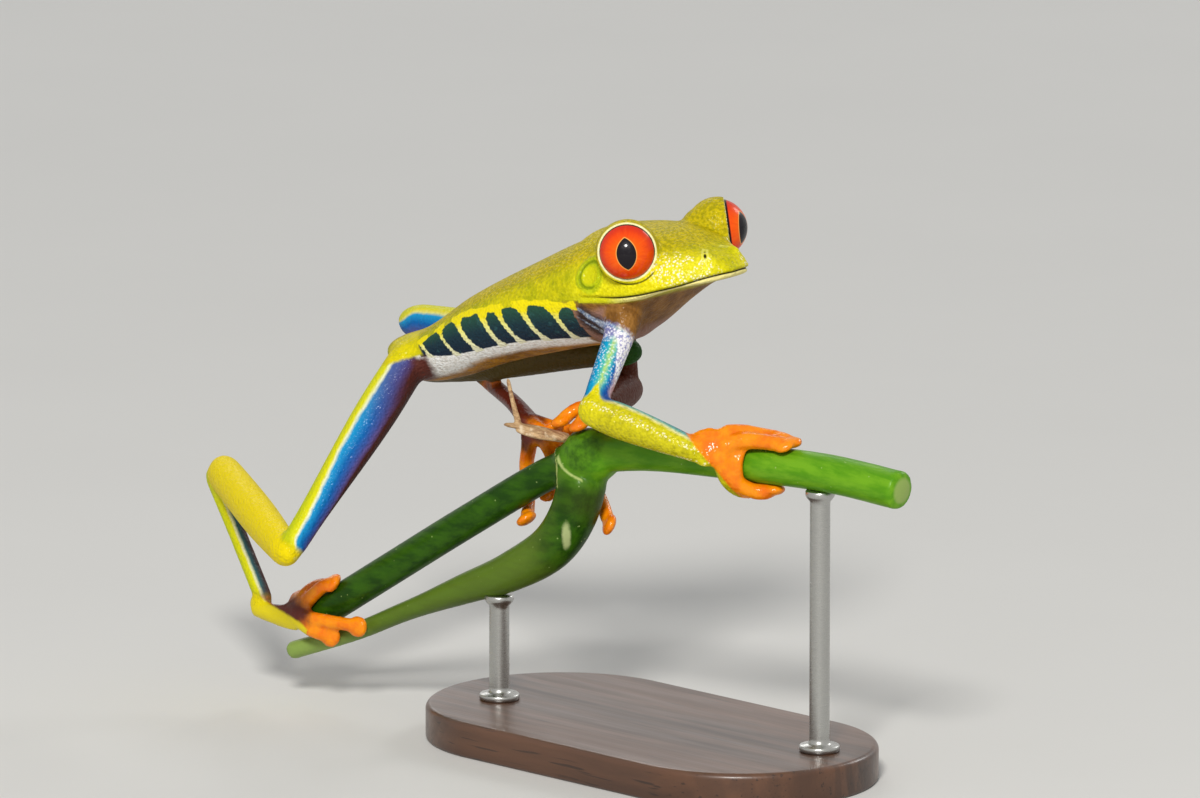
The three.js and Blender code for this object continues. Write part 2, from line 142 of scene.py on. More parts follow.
def between(stations, at):
    # rows of [at, value ...] read at any place, with smooth steps between the rows
    table = arr(stations)
    x, y = table[:, 0], table[:, 1:]
    at = np.atleast_1d(at)
    k = np.clip(np.searchsorted(x, at, side="right") - 1, 0, len(x) - 2)
    step = (x[k + 1] - x[k])[:, None]
    f = np.clip((at - x[k])[:, None] / step, 0, 1)
    before, after = np.maximum(k - 1, 0), np.minimum(k + 2, len(x) - 1)
    slopeIn = (y[k + 1] - y[before]) / (x[k + 1] - x[before])[:, None] * step
    slopeOut = (y[after] - y[k]) / (x[after] - x[k])[:, None] * step
    f2, f3 = f * f, f ** 3
    return (y[k] * (2 * f3 - 3 * f2 + 1) + slopeIn * (f3 - 2 * f2 + f)
            + y[k + 1] * (3 * f2 - 2 * f3) + slopeOut * (f3 - f2))


def frameAlong(path, up):
    tangent = unit(np.gradient(path, axis=0))
    side = unit(np.cross(arr(up), tangent))
    return tangent, side, np.cross(tangent, side)


def tube(points, stations, up=(0, 0, 1), around=28, rows=44, cap=0.1):
    # an oval carried along a curve, with round ends: half width, height and perhaps depth at each station
    fine = route(points, 400)
    t = 0.5 - 0.5 * np.cos(np.pi * np.arange(1, rows) / rows)
    at = t * 399
    path = np.stack([np.interp(at, np.arange(400), fine[:, j]) for j in range(3)], 1)
    _, sides, rises = frameAlong(fine, up)
    side = unit(np.stack([np.interp(at, np.arange(400), sides[:, j]) for j in range(3)], 1))
    rise = unit(np.stack([np.interp(at, np.arange(400), rises[:, j]) for j in range(3)], 1))
    end = np.minimum(1, np.minimum(t, 1 - t) / cap)
    full = np.sqrt(1 - (1 - end) ** 2)[:, None] * between(stations, t)
    angle = 2 * np.pi * np.arange(around) / around
    height = np.where(np.sin(angle) > 0, full[:, 1:2], full[:, -1:]) * np.sin(angle)
    rings = (path[:, None] + (full[:, :1] * np.cos(angle))[..., None] * side[:, None]
             + height[..., None] * rise[:, None])
    return closedRings(rings, fine[:1], fine[-1:])


def ellipsoid(middle, sizes, axis=(0, 0, 1), around=28, rows=16):
    # a ball squeezed to three half sizes, the third along the axis
    w = unit(arr(axis))
    turn = np.array(Vector((0, 0, 1)).rotation_difference(Vector(w)).to_matrix())
    polar = np.pi * np.arange(1, rows) / rows
    angle = 2 * np.pi * np.arange(around) / around
    rings = np.stack([np.sin(polar)[:, None] * np.cos(angle), np.sin(polar)[:, None] * np.sin(angle),
                      np.cos(polar)[:, None] * np.ones(around)], -1)[::-1] * arr(sizes)
    poles = arr((0, 0, -1), (0, 0, 1)) * arr(sizes)
    return closedRings(rings @ turn.T + arr(middle), poles[:1] @ turn.T + arr(middle),
                       poles[1:] @ turn.T + arr(middle))


def fused(solids, voxel):
    # overlapping closed surfaces made one, as small squares
    counts = np.cumsum([0] + [len(points) for points, _ in solids])
    points = np.vstack([p for p, _ in solids])
    faces = np.vstack([f + n for (_, f), n in zip(solids, counts)])
    rough = meshObject("rough", points, faces, metres=False)
    remesh = rough.modifiers.new("fuse", "REMESH")
    remesh.mode = "VOXEL"
    remesh.voxel_size = voxel
    remesh.adaptivity = 0
    even = rough.evaluated_get(bpy.context.evaluated_depsgraph_get()).data
    points = np.zeros(len(even.vertices) * 3, np.float32)
    even.vertices.foreach_get("co", points)
    corners = np.zeros(len(even.loops), np.int32)
    even.loops.foreach_get("vertex_index", corners)
    mesh = rough.data
    result = points.reshape(-1, 3).astype(float), corners.reshape(-1, 4).astype(int)
    bpy.data.objects.remove(rough)
    bpy.data.meshes.remove(mesh)
    return result


def edgesOf(faces):
    pairs = np.vstack([np.stack([faces[:, i], faces[:, (i + 1) % faces.shape[1]]], 1)
                       for i in range(faces.shape[1])])
    return np.unique(np.sort(pairs, axis=1), axis=0)


def relaxed(points, faces, times, amount=0.5, back=0.0):
    # each point moves part of the way to the mean of its neighbours, and then back a little
    edges = edgesOf(faces)
    one, two = np.concatenate([edges[:, 0], edges[:, 1]]), np.concatenate([edges[:, 1], edges[:, 0]])
    count = np.bincount(one, minlength=len(points))[:, None]
    points = points.copy()
    amounts = [np.broadcast_to(amount, (len(points),))[:, None]]
    if back:
        amounts.append(-back * amounts[0])
    for _ in range(times):
        for share in amounts:
            mean = np.stack([np.bincount(one, points[two, j], len(points)) for j in range(3)], 1) / count
            points += share * (mean - points)
    return points


def normalsOf(points, triangles):
    a, b, c = (points[triangles[:, i]] for i in range(3))
    face = np.cross(b - a, c - a)
    total = np.stack([sum(np.bincount(triangles[:, i], face[:, j], len(points)) for i in range(3))
                      for j in range(3)], 1)
    return unit(total + 1e-12)


def refined(points, triangles, near):
    # every triangle with all corners near is cut in four, and its neighbours are cut to match
    full = near[triangles].all(1)
    sides = np.stack([np.sort(triangles[:, [i, (i + 1) % 3]], axis=1) for i in range(3)], 1)
    keys = sides[..., 0] * len(points) + sides[..., 1]
    split = np.unique(keys[full])
    middles = (points[split // len(points)] + points[split % len(points)]) / 2
    place = np.searchsorted(split, keys)
    place = np.minimum(place, len(split) - 1)
    has = split[place] == keys
    mid = np.where(has, place + len(points), -1)
    a, b, c = triangles.T
    ab, bc, ca = mid.T
    count = has.sum(1)
    out = [triangles[count == 0]]
    k = count == 3
    out += [np.stack(x, 1)[k] for x in ((a, ab, ca), (ab, b, bc), (ca, bc, c), (ab, bc, ca))]
    for p, q, r, pq, qr in ((a, b, c, ab, bc), (b, c, a, bc, ca), (c, a, b, ca, ab)):
        k = (count == 1) & (pq >= 0)
        out += [np.stack(x, 1)[k] for x in ((p, pq, r), (pq, q, r))]
        k = (count == 2) & (pq >= 0) & (qr >= 0)
        out += [np.stack(x, 1)[k] for x in ((pq, q, qr), (p, pq, qr), (p, qr, r))]
    return np.vstack([points, middles]), np.vstack(out)


# the frog's plan

joints = {
    "hipRight": (-5.4, -5.4, 38.8), "kneeRight": (-9.1, -18.8, 20.5),
    "heelRight": (-29.8, -8, 24), "ankleRight": (-21.4, -10.3, 12.4),
    "hipLeft": (-7.2, -1.1, 37.5), "kneeLeft": (14, 6.1, 40.7),
    "heelLeft": (-13.9, 3.3, 40), "ankleLeft": (-2.1, 2.8, 35.6),
    "shoulderRight": (21.4, -2.2, 45.8), "elbowRight": (22.6, -7.8, 38.1), "wristRight": (33.9, -4.4, 35.2),
    "shoulderLeft": (11, 7.4, 46), "elbowLeft": (9.3, 10.4, 35.5), "wristLeft": (15, 1.4, 36.4),
}
armFolds = arr((17.1, -4.6, 47.2), (21, -4, 45.8))  # the uppermost fold behind the jaw
hipCut = arr((-7.3, -6.6, 38.1), (-1.6, -6.6, 40.1))  # the hip's yellow cap ends along this line
trunk = {
    "path": [(-10.3, -3.1, 38.6), (-4, -2, 40.4), (2, -1, 43), (8, 0.2, 45.6), (14, 1.6, 47.9),
             (20, 2.9, 49.6)],
    # place along the path: half width, height above it and depth under it
    "stations": [[0, 2.8, 1.3, 3], [0.15, 4.2, 1.6, 3.8], [0.27, 4.8, 2.3, 4.1], [0.4, 5.4, 3.2, 4.3],
                 [0.65, 6.4, 4.1, 5.2], [0.85, 6.9, 5, 5.9], [1, 6.8, 5.6, 5.7]],
}
head = {
    "middle": (22.7, 3.3, 53.65), "roll": 2.2, "nape": -9.5, "snout": 8.4, "tip": -1.95, "lip": 0.5,
    "brow": (-0.8, 5, -0.35), "browSize": (2.4, 2.2, 2.6),
    "mound": (6.4, 1.75, -0.85), "moundSize": (0.9, 0.75, 0.8),  # the swelling round each nostril
    "nostril": (3.13, -0.38), "nostrilHalf": (0.14, 0.2), "ear": (-4.1, -2.85), "earHalf": (0.84, 0.88),
    # along from the eyes: half width, mouth, top and throat
    "stations": [[-9.5, 6.6, -5.8, 0.2, -10.6], [-4.7, 7.6, -5.1, 1, -10.3],
                 [-1.2, 7.3, -4.8, 1.3, -7.4],
                 [1.2, 6.7, -4.35, 1.2, -5], [2.8, 6, -3.9, 0.8, -4.2], [5.2, 4.7, -3.15, 0.05, -3.4],
                 [7, 3.3, -2.45, -0.55, -2.95], [7.9, 2.3, -2.15, -1, -2.7], [8.4, 1.7, -2.05, -1.25, -2.5]],
}
# lengths in mm and angles in degrees: the opening and the limbus are measured from the gaze,
# and farTurn is how far the far eye's own gaze is turned
eye = {"side": 6.3, "radius": 2.9, "bulge": 0.1, "bulgeWide": 0.62, "out": 47, "lift": 0.1, "farTurn": 27,
       "lid": 3.1, "opening": 70, "crease": 3.28, "rim": 2.8,
       "pupilHalf": 0.97, "pupilTall": 1.6, "pupilLean": 6, "pupilEdge": 0.07, "iris": 2.75, "limbus": 4.2}
towards = arr(0.6917, -0.6917, 0.2079)  # the way the better side faces
across = arr(0.7071, 0.7071, 0)
# each limb: half width and height along it, and the way its outer line faces on each side of the body
limbs = {
    "thigh": {"from": "hip", "to": "knee",
              "girth": [[0, 2.1, 2.15], [0.35, 2, 2.12], [0.8, 1.35, 1.4], [1, 1.3, 1.35]],
              "Right": 0.3 * towards - across, "Left": arr(-0.2, 0.3, 0.9)},
    "shank": {"from": "knee", "to": "heel",
              "girth": [[0, 1.4, 1.6], [0.4, 1.8, 2.1], [0.8, 1.75, 2], [1, 1.6, 1.8]],
              "Right": towards - 0.4 * across, "Left": arr(0, 0.35, 1)},
    "tarsus": {"from": "heel", "to": "ankle", "girth": [[0, 1, 1.05], [0.4, 0.88, 0.92], [1, 0.9, 0.9]],
               "Right": 0.4 * towards - across, "Left": arr(0, 1, 0.2)},
    "upperArm": {"from": "shoulder", "to": "elbow", "girth": [[0, 1.9, 1.8], [0.5, 1.4, 1.4], [1, 1.2, 1.2]],
                 "Right": 0.35 * towards - across, "Left": arr(0.2, 1, 0.2)},
    "forearm": {"from": "elbow", "to": "wrist", "girth": [[0, 1.5, 1.5], [0.35, 1.8, 1.75], [1, 1.15, 1.05]],
                "Right": towards - 0.55 * arr(0, 0, 1), "Left": arr(0.3, 1, 0.3)},
}
paws = {
    "handRight": {
        "end": "wristRight", "palm": [(33.2, -4.5, 35.3), (34.8, -3.5, 35.5), (35.8, -2.8, 35)], "wide": 1.1,
        "digits": [[(35.2, -1.9, 36.7), (38.4, 0.6, 36.6), (41.4, 0.9, 36.4)],
                   [(36.4, -2, 36.1), (39, -0.7, 36.4), (41.4, -0.1, 36.3)],
                   [(35.8, -2.7, 33.8), (36.6, -1.9, 32.2), (37.8, -0.4, 31.5), (39.4, 0.6, 31.5)],
                   [(35.6, -2.7, 33.8), (35.9, -1.8, 32.1), (36.4, 0, 31.3), (36.6, 1.6, 31.7)]]},
    "handLeft": {
        "end": "wristLeft", "palm": [(14.6, 1.8, 36.4), (15.6, -0.2, 35.9), (16.2, -0.8, 35.6)], "wide": 0.8,
        "digits": [[(15, -1, 36.2), (14.3, -2.2, 35.9), (13.8, -3.3, 35)],
                   [(16.2, -1.2, 36.2), (16.4, -2.4, 35.9), (16.5, -3.5, 35.05)],
                   [(17.4, -0.4, 35.6), (19, 0.6, 34.8), (20.6, 0.6, 34)],
                   [(16.2, 0.6, 35), (16.6, 1.2, 33.4), (17, 1.4, 31.6)]]},
    "footRight": {
        "end": "ankleRight", "palm": [(-22.4, -10.6, 11.7), (-18.8, -10.6, 11.3), (-15.8, -10.6, 11.7)],
        "digits": [[(-15.6, -10, 13), (-14.6, -9.6, 14.2), (-12.7, -8.6, 15)],
                   [(-14, -10.4, 11.6), (-12, -10, 11.6), (-9.2, -8.8, 11.4)],
                   [(-15, -10.6, 10.8), (-14, -10.5, 10.4), (-12.4, -9.6, 10)],
                   [(-16.4, -9.4, 13.4), (-16, -7.8, 14.2), (-15, -6.2, 13.6)],
                   [(-17.2, -9.6, 12.4), (-17.8, -7.8, 12.6), (-17.2, -6.2, 12)]]},
    "footLeft": {
        "end": "ankleLeft", "palm": [(-3, 3, 35.7), (3.6, 0.4, 34.6), (8.4, -1.8, 33.4)],
        "digits": [[(7.4, -1.4, 31.6), (6.8, -1.2, 29.4), (7.4, -1.6, 26.4), (9.6, -4, 24.6)],
                   [(9, -1, 32), (9.6, -0.4, 30.4), (10, -1.4, 27)],
                   [(10, -0.8, 32.6), (12.4, 0.4, 30.4), (15.2, 0.6, 27), (18, -0.8, 24.8)],
                   [(9.8, -0.6, 33.4), (11.2, 0.9, 33), (12.6, 1.9, 32.4)],
                   [(9.6, -2.4, 33.6), (10.6, -2.6, 33.4), (11.4, -2, 33.6)]]},
}
# the skin between the near hand's fingers is an arc over the front stem
web = {"middle": (36.0, 0.2, 33.7), "along": (9.6, 1.3, 0.2), "reach": 78, "radius": 2.4, "thick": 0.6,
       "wide": 1.3}
digit = {"root": 0.88, "waist": 0.7, "tip": 0.7, "pad": 1.14, "padThick": 0.55, "nearHand": 1.15}
palmGirth = {"hand": [[0, 1, 0.8], [0.5, 1.9, 0.8], [1, 1.5, 0.7]],
             "foot": [[0, 0.8, 0.8], [0.5, 1, 0.8], [1, 1.6, 0.7]]}
palmRoom = 0.62  # between the middle of a palm and the vine

# the vine's axes
vine = {
    "node": (17, -2.3, 31.9), "nodeSize": (3.4, 2.6, 2.75),
    "rear": [(-16.4, -8, 11.2), (-7, -6.9, 17.2), (3.2, -5.3, 23.8), (12, -3.4, 29.4), (17, -2.3, 31.9)],
    "front": [(17, -2.3, 31.9), (24.5, -1.6, 33.2), (36.4, 0.3, 33.7), (46, 1.6, 33.9), (55, 2.5, 33.4)],
    "petiole": [(16.6, -2.9, 30), (15.8, -3.6, 26), (13.6, -4.2, 22.6), (8.5, -4.8, 19.3),
                (2.2, -5.5, 16.5), (-5.6, -6.5, 13), (-10.6, -7.4, 10.6), (-18.8, -9.3, 7.4)],
    "rearGirth": [[0, 1.65, 1.65], [1, 1.65, 1.65]], "frontGirth": [[0, 1.8, 1.8], [1, 1.9, 1.9]],
    "petioleGirth": [[0, 2.5, 2.5], [0.25, 2.2, 2.2], [0.45, 1.6, 1.7], [0.65, 1, 1.2], [1, 0.9, 1]],
    "swelling": [(13.8, -3, 30.3), (17, -2.3, 31.9)], "swellingGirth": [[0, 2, 2], [1, 2.4, 2.4]],
    # each cut end, the way it faces, and how far from it the cut's paint may reach
    "cuts": [("front", -1, (9, 0.9, -0.5)), ("rear", 0, (-9.4, -1.1, -6)),
             ("petiole", -1, (-8.2, -1.9, -3.2))],
    "cutReach": 2.05, "scar": (16.2, -5, 24.2), "shade": (16.6, -3, 27.6),
}
perchAxes = [(route(points, 61), radius) for points, radius in (
    (vine["rear"], 1.65), (vine["front"], 1.9), (vine["petiole"], 1.5),
    ([(14.7, -2.8, 30.8), (19.6, -2, 32.3)], 2.9))]


def clearOf(point, room):  # the point moved out of the vine until it has that much room
    for row, radius in perchAxes * 2:
        axis = row[np.argmin(lengths(row - point))]
        short = radius + room - np.linalg.norm(point - axis)
        if short > 0:
            point = point + unit(point - axis) * short
    return point


def outward(point):  # the way out from the nearest stem
    rows = [(row[np.argmin(lengths(row - point))], radius) for row, radius in perchAxes]
    axis = min(rows, key=lambda pair: np.linalg.norm(point - pair[0]) - pair[1])[0]
    return unit(point - axis)


rollCos, rollSin = math.cos(math.radians(head["roll"])), math.sin(math.radians(head["roll"]))
headTurn = arr((1, 0, 0), (0, rollCos, -rollSin), (0, rollSin, rollCos))


def fromHead(points):
    return np.asarray(points) @ headTurn.T + arr(head["middle"])


def toHead(points):
    return (points - arr(head["middle"])) @ headTurn


def headLoft(rows=60, around=72):
    # sections across the head: a squarish arch over the mouth line, and under it a lip and a pouch
    x = head["nape"] + (head["snout"] - head["nape"]) * np.sin(np.pi / 2 * np.arange(1, rows) / rows)
    wide, mouth, top, throat = between(head["stations"], x).T
    end = np.sqrt(np.clip((head["snout"] - x) / 0.8, 0, 1) * np.clip((x - head["nape"]) / 0.8, 0, 1))
    angle = 2 * np.pi * np.arange(around) / around
    c, s = np.cos(angle), np.sin(angle)
    width = np.sign(c) * np.abs(c) ** np.where(s > 0, 0.78, 0.9)
    drop = (mouth - throat)[:, None]
    under = (np.abs(s) ** 0.5 * np.minimum(head["lip"], drop)
             + np.abs(s) ** 2.5 * np.maximum(drop - head["lip"], 0))
    rise = np.where(s > 0, np.abs(s) ** 0.85 * (top - mouth)[:, None], -under)
    rings = np.stack([np.repeat(x[:, None], around, 1), (end * wide)[:, None] * width,
                      mouth[:, None] + end[:, None] * rise], -1)
    ends = fromHead([(head["nape"], 0, -5), (head["snout"], 0, head["tip"])])
    return closedRings(fromHead(rings), ends[:1], ends[1:])


eyes = {}
for name, sign in (("Right", -1), ("Left", 1)):
    outTurn = math.radians(eye["out"])
    gaze = unit(arr(math.cos(outTurn), sign * math.sin(outTurn), eye["lift"]))
    eyes[name] = {"at": fromHead([0, sign * eye["side"], 0]), "gaze": gaze @ headTurn.T, "sign": sign}


def limbEnds(limb, side):
    start, end = arr(joints[limb["from"] + side]), arr(joints[limb["to"] + side])
    if limb["from"] == "heel" and side == "Right":
        start = start + arr(-0.6, -0.6, -0.4)
    return start, end


def bodyLofts():
    solids = [headLoft(), tube(trunk["path"], trunk["stations"], around=72, rows=90, cap=0.09)]
    for one in eyes.values():
        mirror = arr(1, one["sign"], 1)
        solids += [ellipsoid(one["at"], [eye["lid"]] * 3, around=48, rows=30),
                   ellipsoid(fromHead(head["brow"] * mirror), head["browSize"], around=40, rows=24),
                   ellipsoid(fromHead(head["mound"] * mirror), head["moundSize"])]
    return solids


def limbLofts():
    solids = []
    for side in ("Right", "Left"):
        for limb in limbs.values():
            start, end = limbEnds(limb, side)
            way = unit(end - start)
            reach = [start - way * limb["girth"][0][1], end + way * limb["girth"][-1][1]]
            solids.append(tube(reach, limb["girth"]))
    for side, sign in (("Right", -1), ("Left", 1)):
        joint = arr(joints["shoulder" + side])
        chest = joint + arr(-3.2, -1.6 * sign, 1.6)
        solids.append(tube([chest, joint, joint + 0.12 * (arr(joints["elbow" + side]) - joint)],
                           [[0, 2.6, 2.6], [0.5, 2.2, 2.3], [1, 1.5, 1.5]], cap=0.3))
    # the fold of skin in the near elbow's crook
    elbow = arr(joints["elbowRight"])
    toShoulder, toWrist = (unit(arr(joints[end]) - elbow) for end in ("shoulderRight", "wristRight"))
    fold = [elbow + 2.3 * toShoulder, elbow + 0.9 * (toShoulder + toWrist), elbow + 2.6 * toWrist]
    solids.append(tube(fold, [[0, 0.7, 0.7], [0.5, 0.85, 0.85], [1, 0.7, 0.7]],
                       up=np.cross(toShoulder, toWrist), cap=0.3))
    return solids


def webLoft():
    along = unit(arr(web["along"]))
    near = unit(towards - (towards @ along) * along)
    rise = np.cross(along, near)
    turn = np.radians(np.linspace(web["reach"], -web["reach"], 9))[:, None]
    return tube(arr(web["middle"]) + web["radius"] * (np.cos(turn) * near - np.sin(turn) * rise),
                [[0, 0.5, 1.2], [0.5, web["thick"], web["wide"]], [1, 0.5, 1.1]], up=along, cap=0.2)


def pawLofts():
    # each palm and digit lies on the vine, and the axes are kept as the paw's rows for the markings
    solids = []
    for name, paw in paws.items():
        palm = [clearOf(arr(p), palmRoom) for p in paw["palm"]]
        wide = paw.get("wide", 1)
        girth = [[at, wide * w, high] for at, w, high in palmGirth[name[:4]]]
        wrist = arr(joints[paw["end"]])
        solids.append(tube([wrist, *palm], girth, outward(palm[1]), around=24, rows=20))
        paw["rows"] = [route([wrist, *palm], 24)]
        knuckle = 0.7 * palm[-1] + 0.3 * palm[-2]
        stout = digit["nearHand"] if name == "handRight" else 1
        for points in paw["digits"]:
            path = [clearOf(p, digit["root"] - 0.05) for p in route([knuckle, *points], 6)]
            tip = clearOf(arr(points[-1]), digit["padThick"] - 0.08)
            path[-1] = tip
            girth = [[at, stout * digit[part], stout * digit[part]]
                     for at, part in ((0, "root"), (0.6, "waist"), (1, "tip"))]
            pad = (digit["pad"], digit["pad"], digit["padThick"])
            solids.append(tube(path, girth, outward(path[2]), around=16, rows=24, cap=0.08))
            solids.append(ellipsoid(tip, pad, outward(tip), 20, 12))
            paw["rows"].append(route(path, 24))
    return solids


def nearestOn(points, row):
    # the place of each point along a row of points, and the way to it from there
    here = np.concatenate([np.argmin(((chunk[:, None] - row) ** 2).sum(2), axis=1)
                           for chunk in np.array_split(points, max(1, len(points) // 4000))])
    return here, points - row[here]


def fits(points):
    # how far each point lies outside each part, in mm,
    # and where it lies along and round the limbs and the belly
    out, along, roundness = {}, {}, {}
    path = route(trunk["path"], 160)
    here, off = nearestOn(points, path)
    _, side, rise = frameAlong(path, (0, 0, 1))
    t = here / 159
    wide, high, low = between(trunk["stations"], t).T
    beside, over = (off * side[here]).sum(1) / wide, (off * rise[here]).sum(1)
    size = np.hypot(beside, over / np.where(over > 0, high, low))
    past = np.maximum((off[:, 0] + 0.3 * off[:, 2]) * (t > 0.98), 0)
    out["trunk"] = np.maximum((size - 1) * (wide + low) / 2, past)
    level = over / np.where(over > 0, high, low - 1)
    belly = {"t": t, "angle": np.degrees(np.arctan2(level, np.abs(beside))),
             "mm": np.pi / 180 * ((wide + low - 1) / 2)}  # the length of one degree
    h = toHead(points)
    wide, mouth, top, throat = between(head["stations"], np.clip(h[:, 0], head["nape"], head["snout"])).T
    tall = np.where(h[:, 2] > mouth, top - mouth, mouth - throat)
    headSize = np.hypot(h[:, 1] / wide, (h[:, 2] - mouth) / tall)
    behind = np.maximum(head["nape"] - h[:, 0], 0)
    out["head"] = np.maximum((headSize - 1) * np.minimum(wide, tall), behind)
    for one in eyes.values():
        out["head"] = np.minimum(out["head"], lengths(points - one["at"]) - eye["lid"])
    for side in ("Right", "Left"):
        for kind, limb in limbs.items():
            start, end = limbEnds(limb, side)
            way, length = unit(end - start), np.linalg.norm(end - start)
            at = np.clip((points - start) @ way / length, 0, 1)
            off = points - start - at[:, None] * length * way
            upper = unit(limb[side] - (limb[side] @ way) * way)
            cross = np.cross(way, upper)
            out[kind + side] = lengths(off) - between(limb["girth"], at).mean(1)
            along[kind + side] = ((points - start) @ way) / length
            roundness[kind + side] = np.arctan2(np.abs(off @ cross), off @ upper) / np.pi
    for name, paw in paws.items():
        _, off = nearestOn(points, np.vstack(paw["rows"]))
        out[name] = lengths(off) - 0.85
    return {"out": out, "along": along, "roundness": roundness, "belly": belly, "head": h}


def closest(out, *kinds):  # mm by which the nearest of these parts is nearer than the nearest other
    inside = [fit for name, fit in out.items() if name.startswith(kinds)]
    others = [fit for name, fit in out.items() if not name.startswith(kinds)]
    return np.minimum.reduce(others) - np.minimum.reduce(inside)


def eyeAngles(points, one):
    off = points - one["at"]
    far = lengths(off)
    return off, far, np.degrees(np.arccos(np.clip(off @ one["gaze"] / far, -1, 1)))


skinMade = {
    "voxel": 0.285,
    # the creases where limbs leave the body are eased more than the rest: how far round each joint, in mm
    "eased": {"hipRight": 4, "hipLeft": 3.5, "shoulderRight": 3, "shoulderLeft": 3, "elbowRight": 1.4,
              "kneeRight": 1.2, "heelRight": 1.2, "wristRight": 1.2},
    "hand": (37, -2, 35), "handReach": 5.5,  # the near hand and the face have smaller triangles
}


def frogSkin():
    lofts = bodyLofts() + limbLofts() + [webLoft()] + pawLofts()
    points, quads = fused(lofts, skinMade["voxel"])
    points = relaxed(points, quads, 6, 0.5, back=1.04)
    eased = np.zeros(len(points))
    for name, reach in skinMade["eased"].items():
        eased = np.maximum(eased, bump(lengths(points - arr(joints[name])), reach))
    h = toHead(points)
    eased = np.maximum(eased, bump(h[:, 0] + 6.5, 2.2) * (np.abs(h[:, 1]) < 10) * (h[:, 2] > -12))
    points = relaxed(points, quads, 40, 0.5 * eased)
    triangles = np.vstack([quads[:, [0, 1, 2]], quads[:, [0, 2, 3]]])
    h = toHead(points)
    face = (h[:, 0] > -6.5) & (np.abs(h[:, 1]) < 11) & (h[:, 2] > -6.5)
    hand = lengths(points - arr(skinMade["hand"])) < skinMade["handReach"]
    points, triangles = refined(points, triangles, face | hand)
    return relaxed(points, triangles, 3, 0.5, back=1.04), triangles


def nostrilSpot(h, sign):
    # an upright slit facing forward and outward: 1 at its edge, less inside it
    side = (h[:, 0] - sign * h[:, 1]) / math.sqrt(2)
    out = (h[:, 0] + sign * h[:, 1]) / math.sqrt(2)
    (middle, level), (half, tall) = head["nostril"], head["nostrilHalf"]
    return np.where(out > 4.5, np.hypot((side - middle) / half, (h[:, 2] - level) / tall), 9)


def earSpot(h, sign):
    # 1 at the edge of the ear's disc on one side of the head, less inside it
    (middle, level), (half, tall) = head["ear"], head["earHalf"]
    return np.where(h[:, 1] * sign > 4, np.hypot((h[:, 0] - middle) / half, (h[:, 2] - level) / tall), 9)


def ridge(away, height, width):
    # a raised line where `away` is zero, or a groove where its height is negative
    return height * bump(away, width)


def lidRound(points, one):
    # the distance from the eye's axis, 1 on the lower lid's side, how far along the axis,
    # and how near the eye
    off = points - one["at"]
    ahead = off @ one["gaze"]
    radius = lengths(off - ahead[:, None] * one["gaze"])
    low = smooth(-(off @ headTurn[:, 2]) - 0.5 * off[:, 0], -0.8, 0.8)
    return radius, low, ahead, np.minimum(ahead + 1.6, 5 - lengths(off))


def headRelief(points, triangles):
    # lids round the eyeballs, then the mouth, the creases under the eyes, the nostrils and the ear discs
    opening = eye["opening"]
    for one in eyes.values():
        off, far, angle = eyeAngles(points, one)
        low = smooth(-(off @ headTurn[:, 2]), -0.6, 1.6)
        shell = eye["lid"] + ridge(angle - opening, -0.14, 2.5) + low * ridge(angle - opening - 9, 0.07, 4)
        outside = smooth(angle, opening - 1.5, opening + 1.5)
        lid = np.where(far < shell + 1, np.maximum(far, shell), far)
        socket = np.where(far < 5, 2.55, far)
        radius = outside * lid + (1 - outside) * socket
        points = one["at"] + off / far[:, None] * radius[:, None]
    points = points.copy()
    normals = normalsOf(points, triangles)
    h = toHead(points)
    x = np.clip(h[:, 0], head["nape"], head["snout"])
    above = h[:, 2] - between(head["stations"], x)[:, 1]
    onJaw = smooth(h[:, 0], -5.4, -4.2) * (h[:, 2] > -9)
    lift = onJaw * (ridge(above - 0.3, 0.12, 0.25) + ridge(above, -0.24, 0.13)
                    + ridge(above + 0.35, 0.08, 0.22))
    for one in eyes.values():
        radius, low, _, reach = lidRound(points, one)
        away = np.where(reach > 0, radius - eye["crease"], 9)
        lift += low * (ridge(away, 0.1, 0.35) + ridge(away, -0.24, 0.13))
    for sign in (-1, 1):
        nostril, ear = nostrilSpot(h, sign), earSpot(h, sign)
        lift += ridge(nostril - 2.4, 0.05, 1.2) + ridge(nostril, -0.18, 1)
        lift += ridge(ear - 1.1, 0.1, 0.2) - 0.1 * (1 - smooth(ear, 0.6, 1))
        lift += ridge(ear - 1.75, 0.14, 0.24) * (h[:, 2] > -4.2) + ridge(ear - 1.42, -0.12, 0.12)
    return points + lift[:, None] * normals


flank = {
    "length": 34.6, "from": 0.2, "to": 0.83,
    # place along the trunk, and the upper and lower edge as angles from the level, in degrees
    "edges": [[0.15, 5, -17], [0.23, 14, -22], [0.3, 20, -32], [0.38, 24, -38], [0.46, 20, -40],
              [0.54, 13, -42], [0.62, 8, -45], [0.7, 1, -50], [0.78, -9, -54], [0.9, -20, -58]],
    # each bar: place along the trunk, half width, how much it leans, and how far it spreads at its top
    "bars": [(0.222, 0.3, -0.8, 0.5), (0.318, 0.26, -0.9, 0.5), (0.4, 0.36, -1.1, 0.6),
             (0.5, 0.36, -0.6, 0.7), (0.568, 0.34, -0.9, 0.5), (0.655, 0.36, -0.7, 0.9),
             (0.762, 0.36, -0.3, 1.3)],
    "breaks": (0.265, 0.345, 0.6),  # where the yellow line over the bars is broken
    "bellyEnd": -6.2,  # along the head from the eyes
}


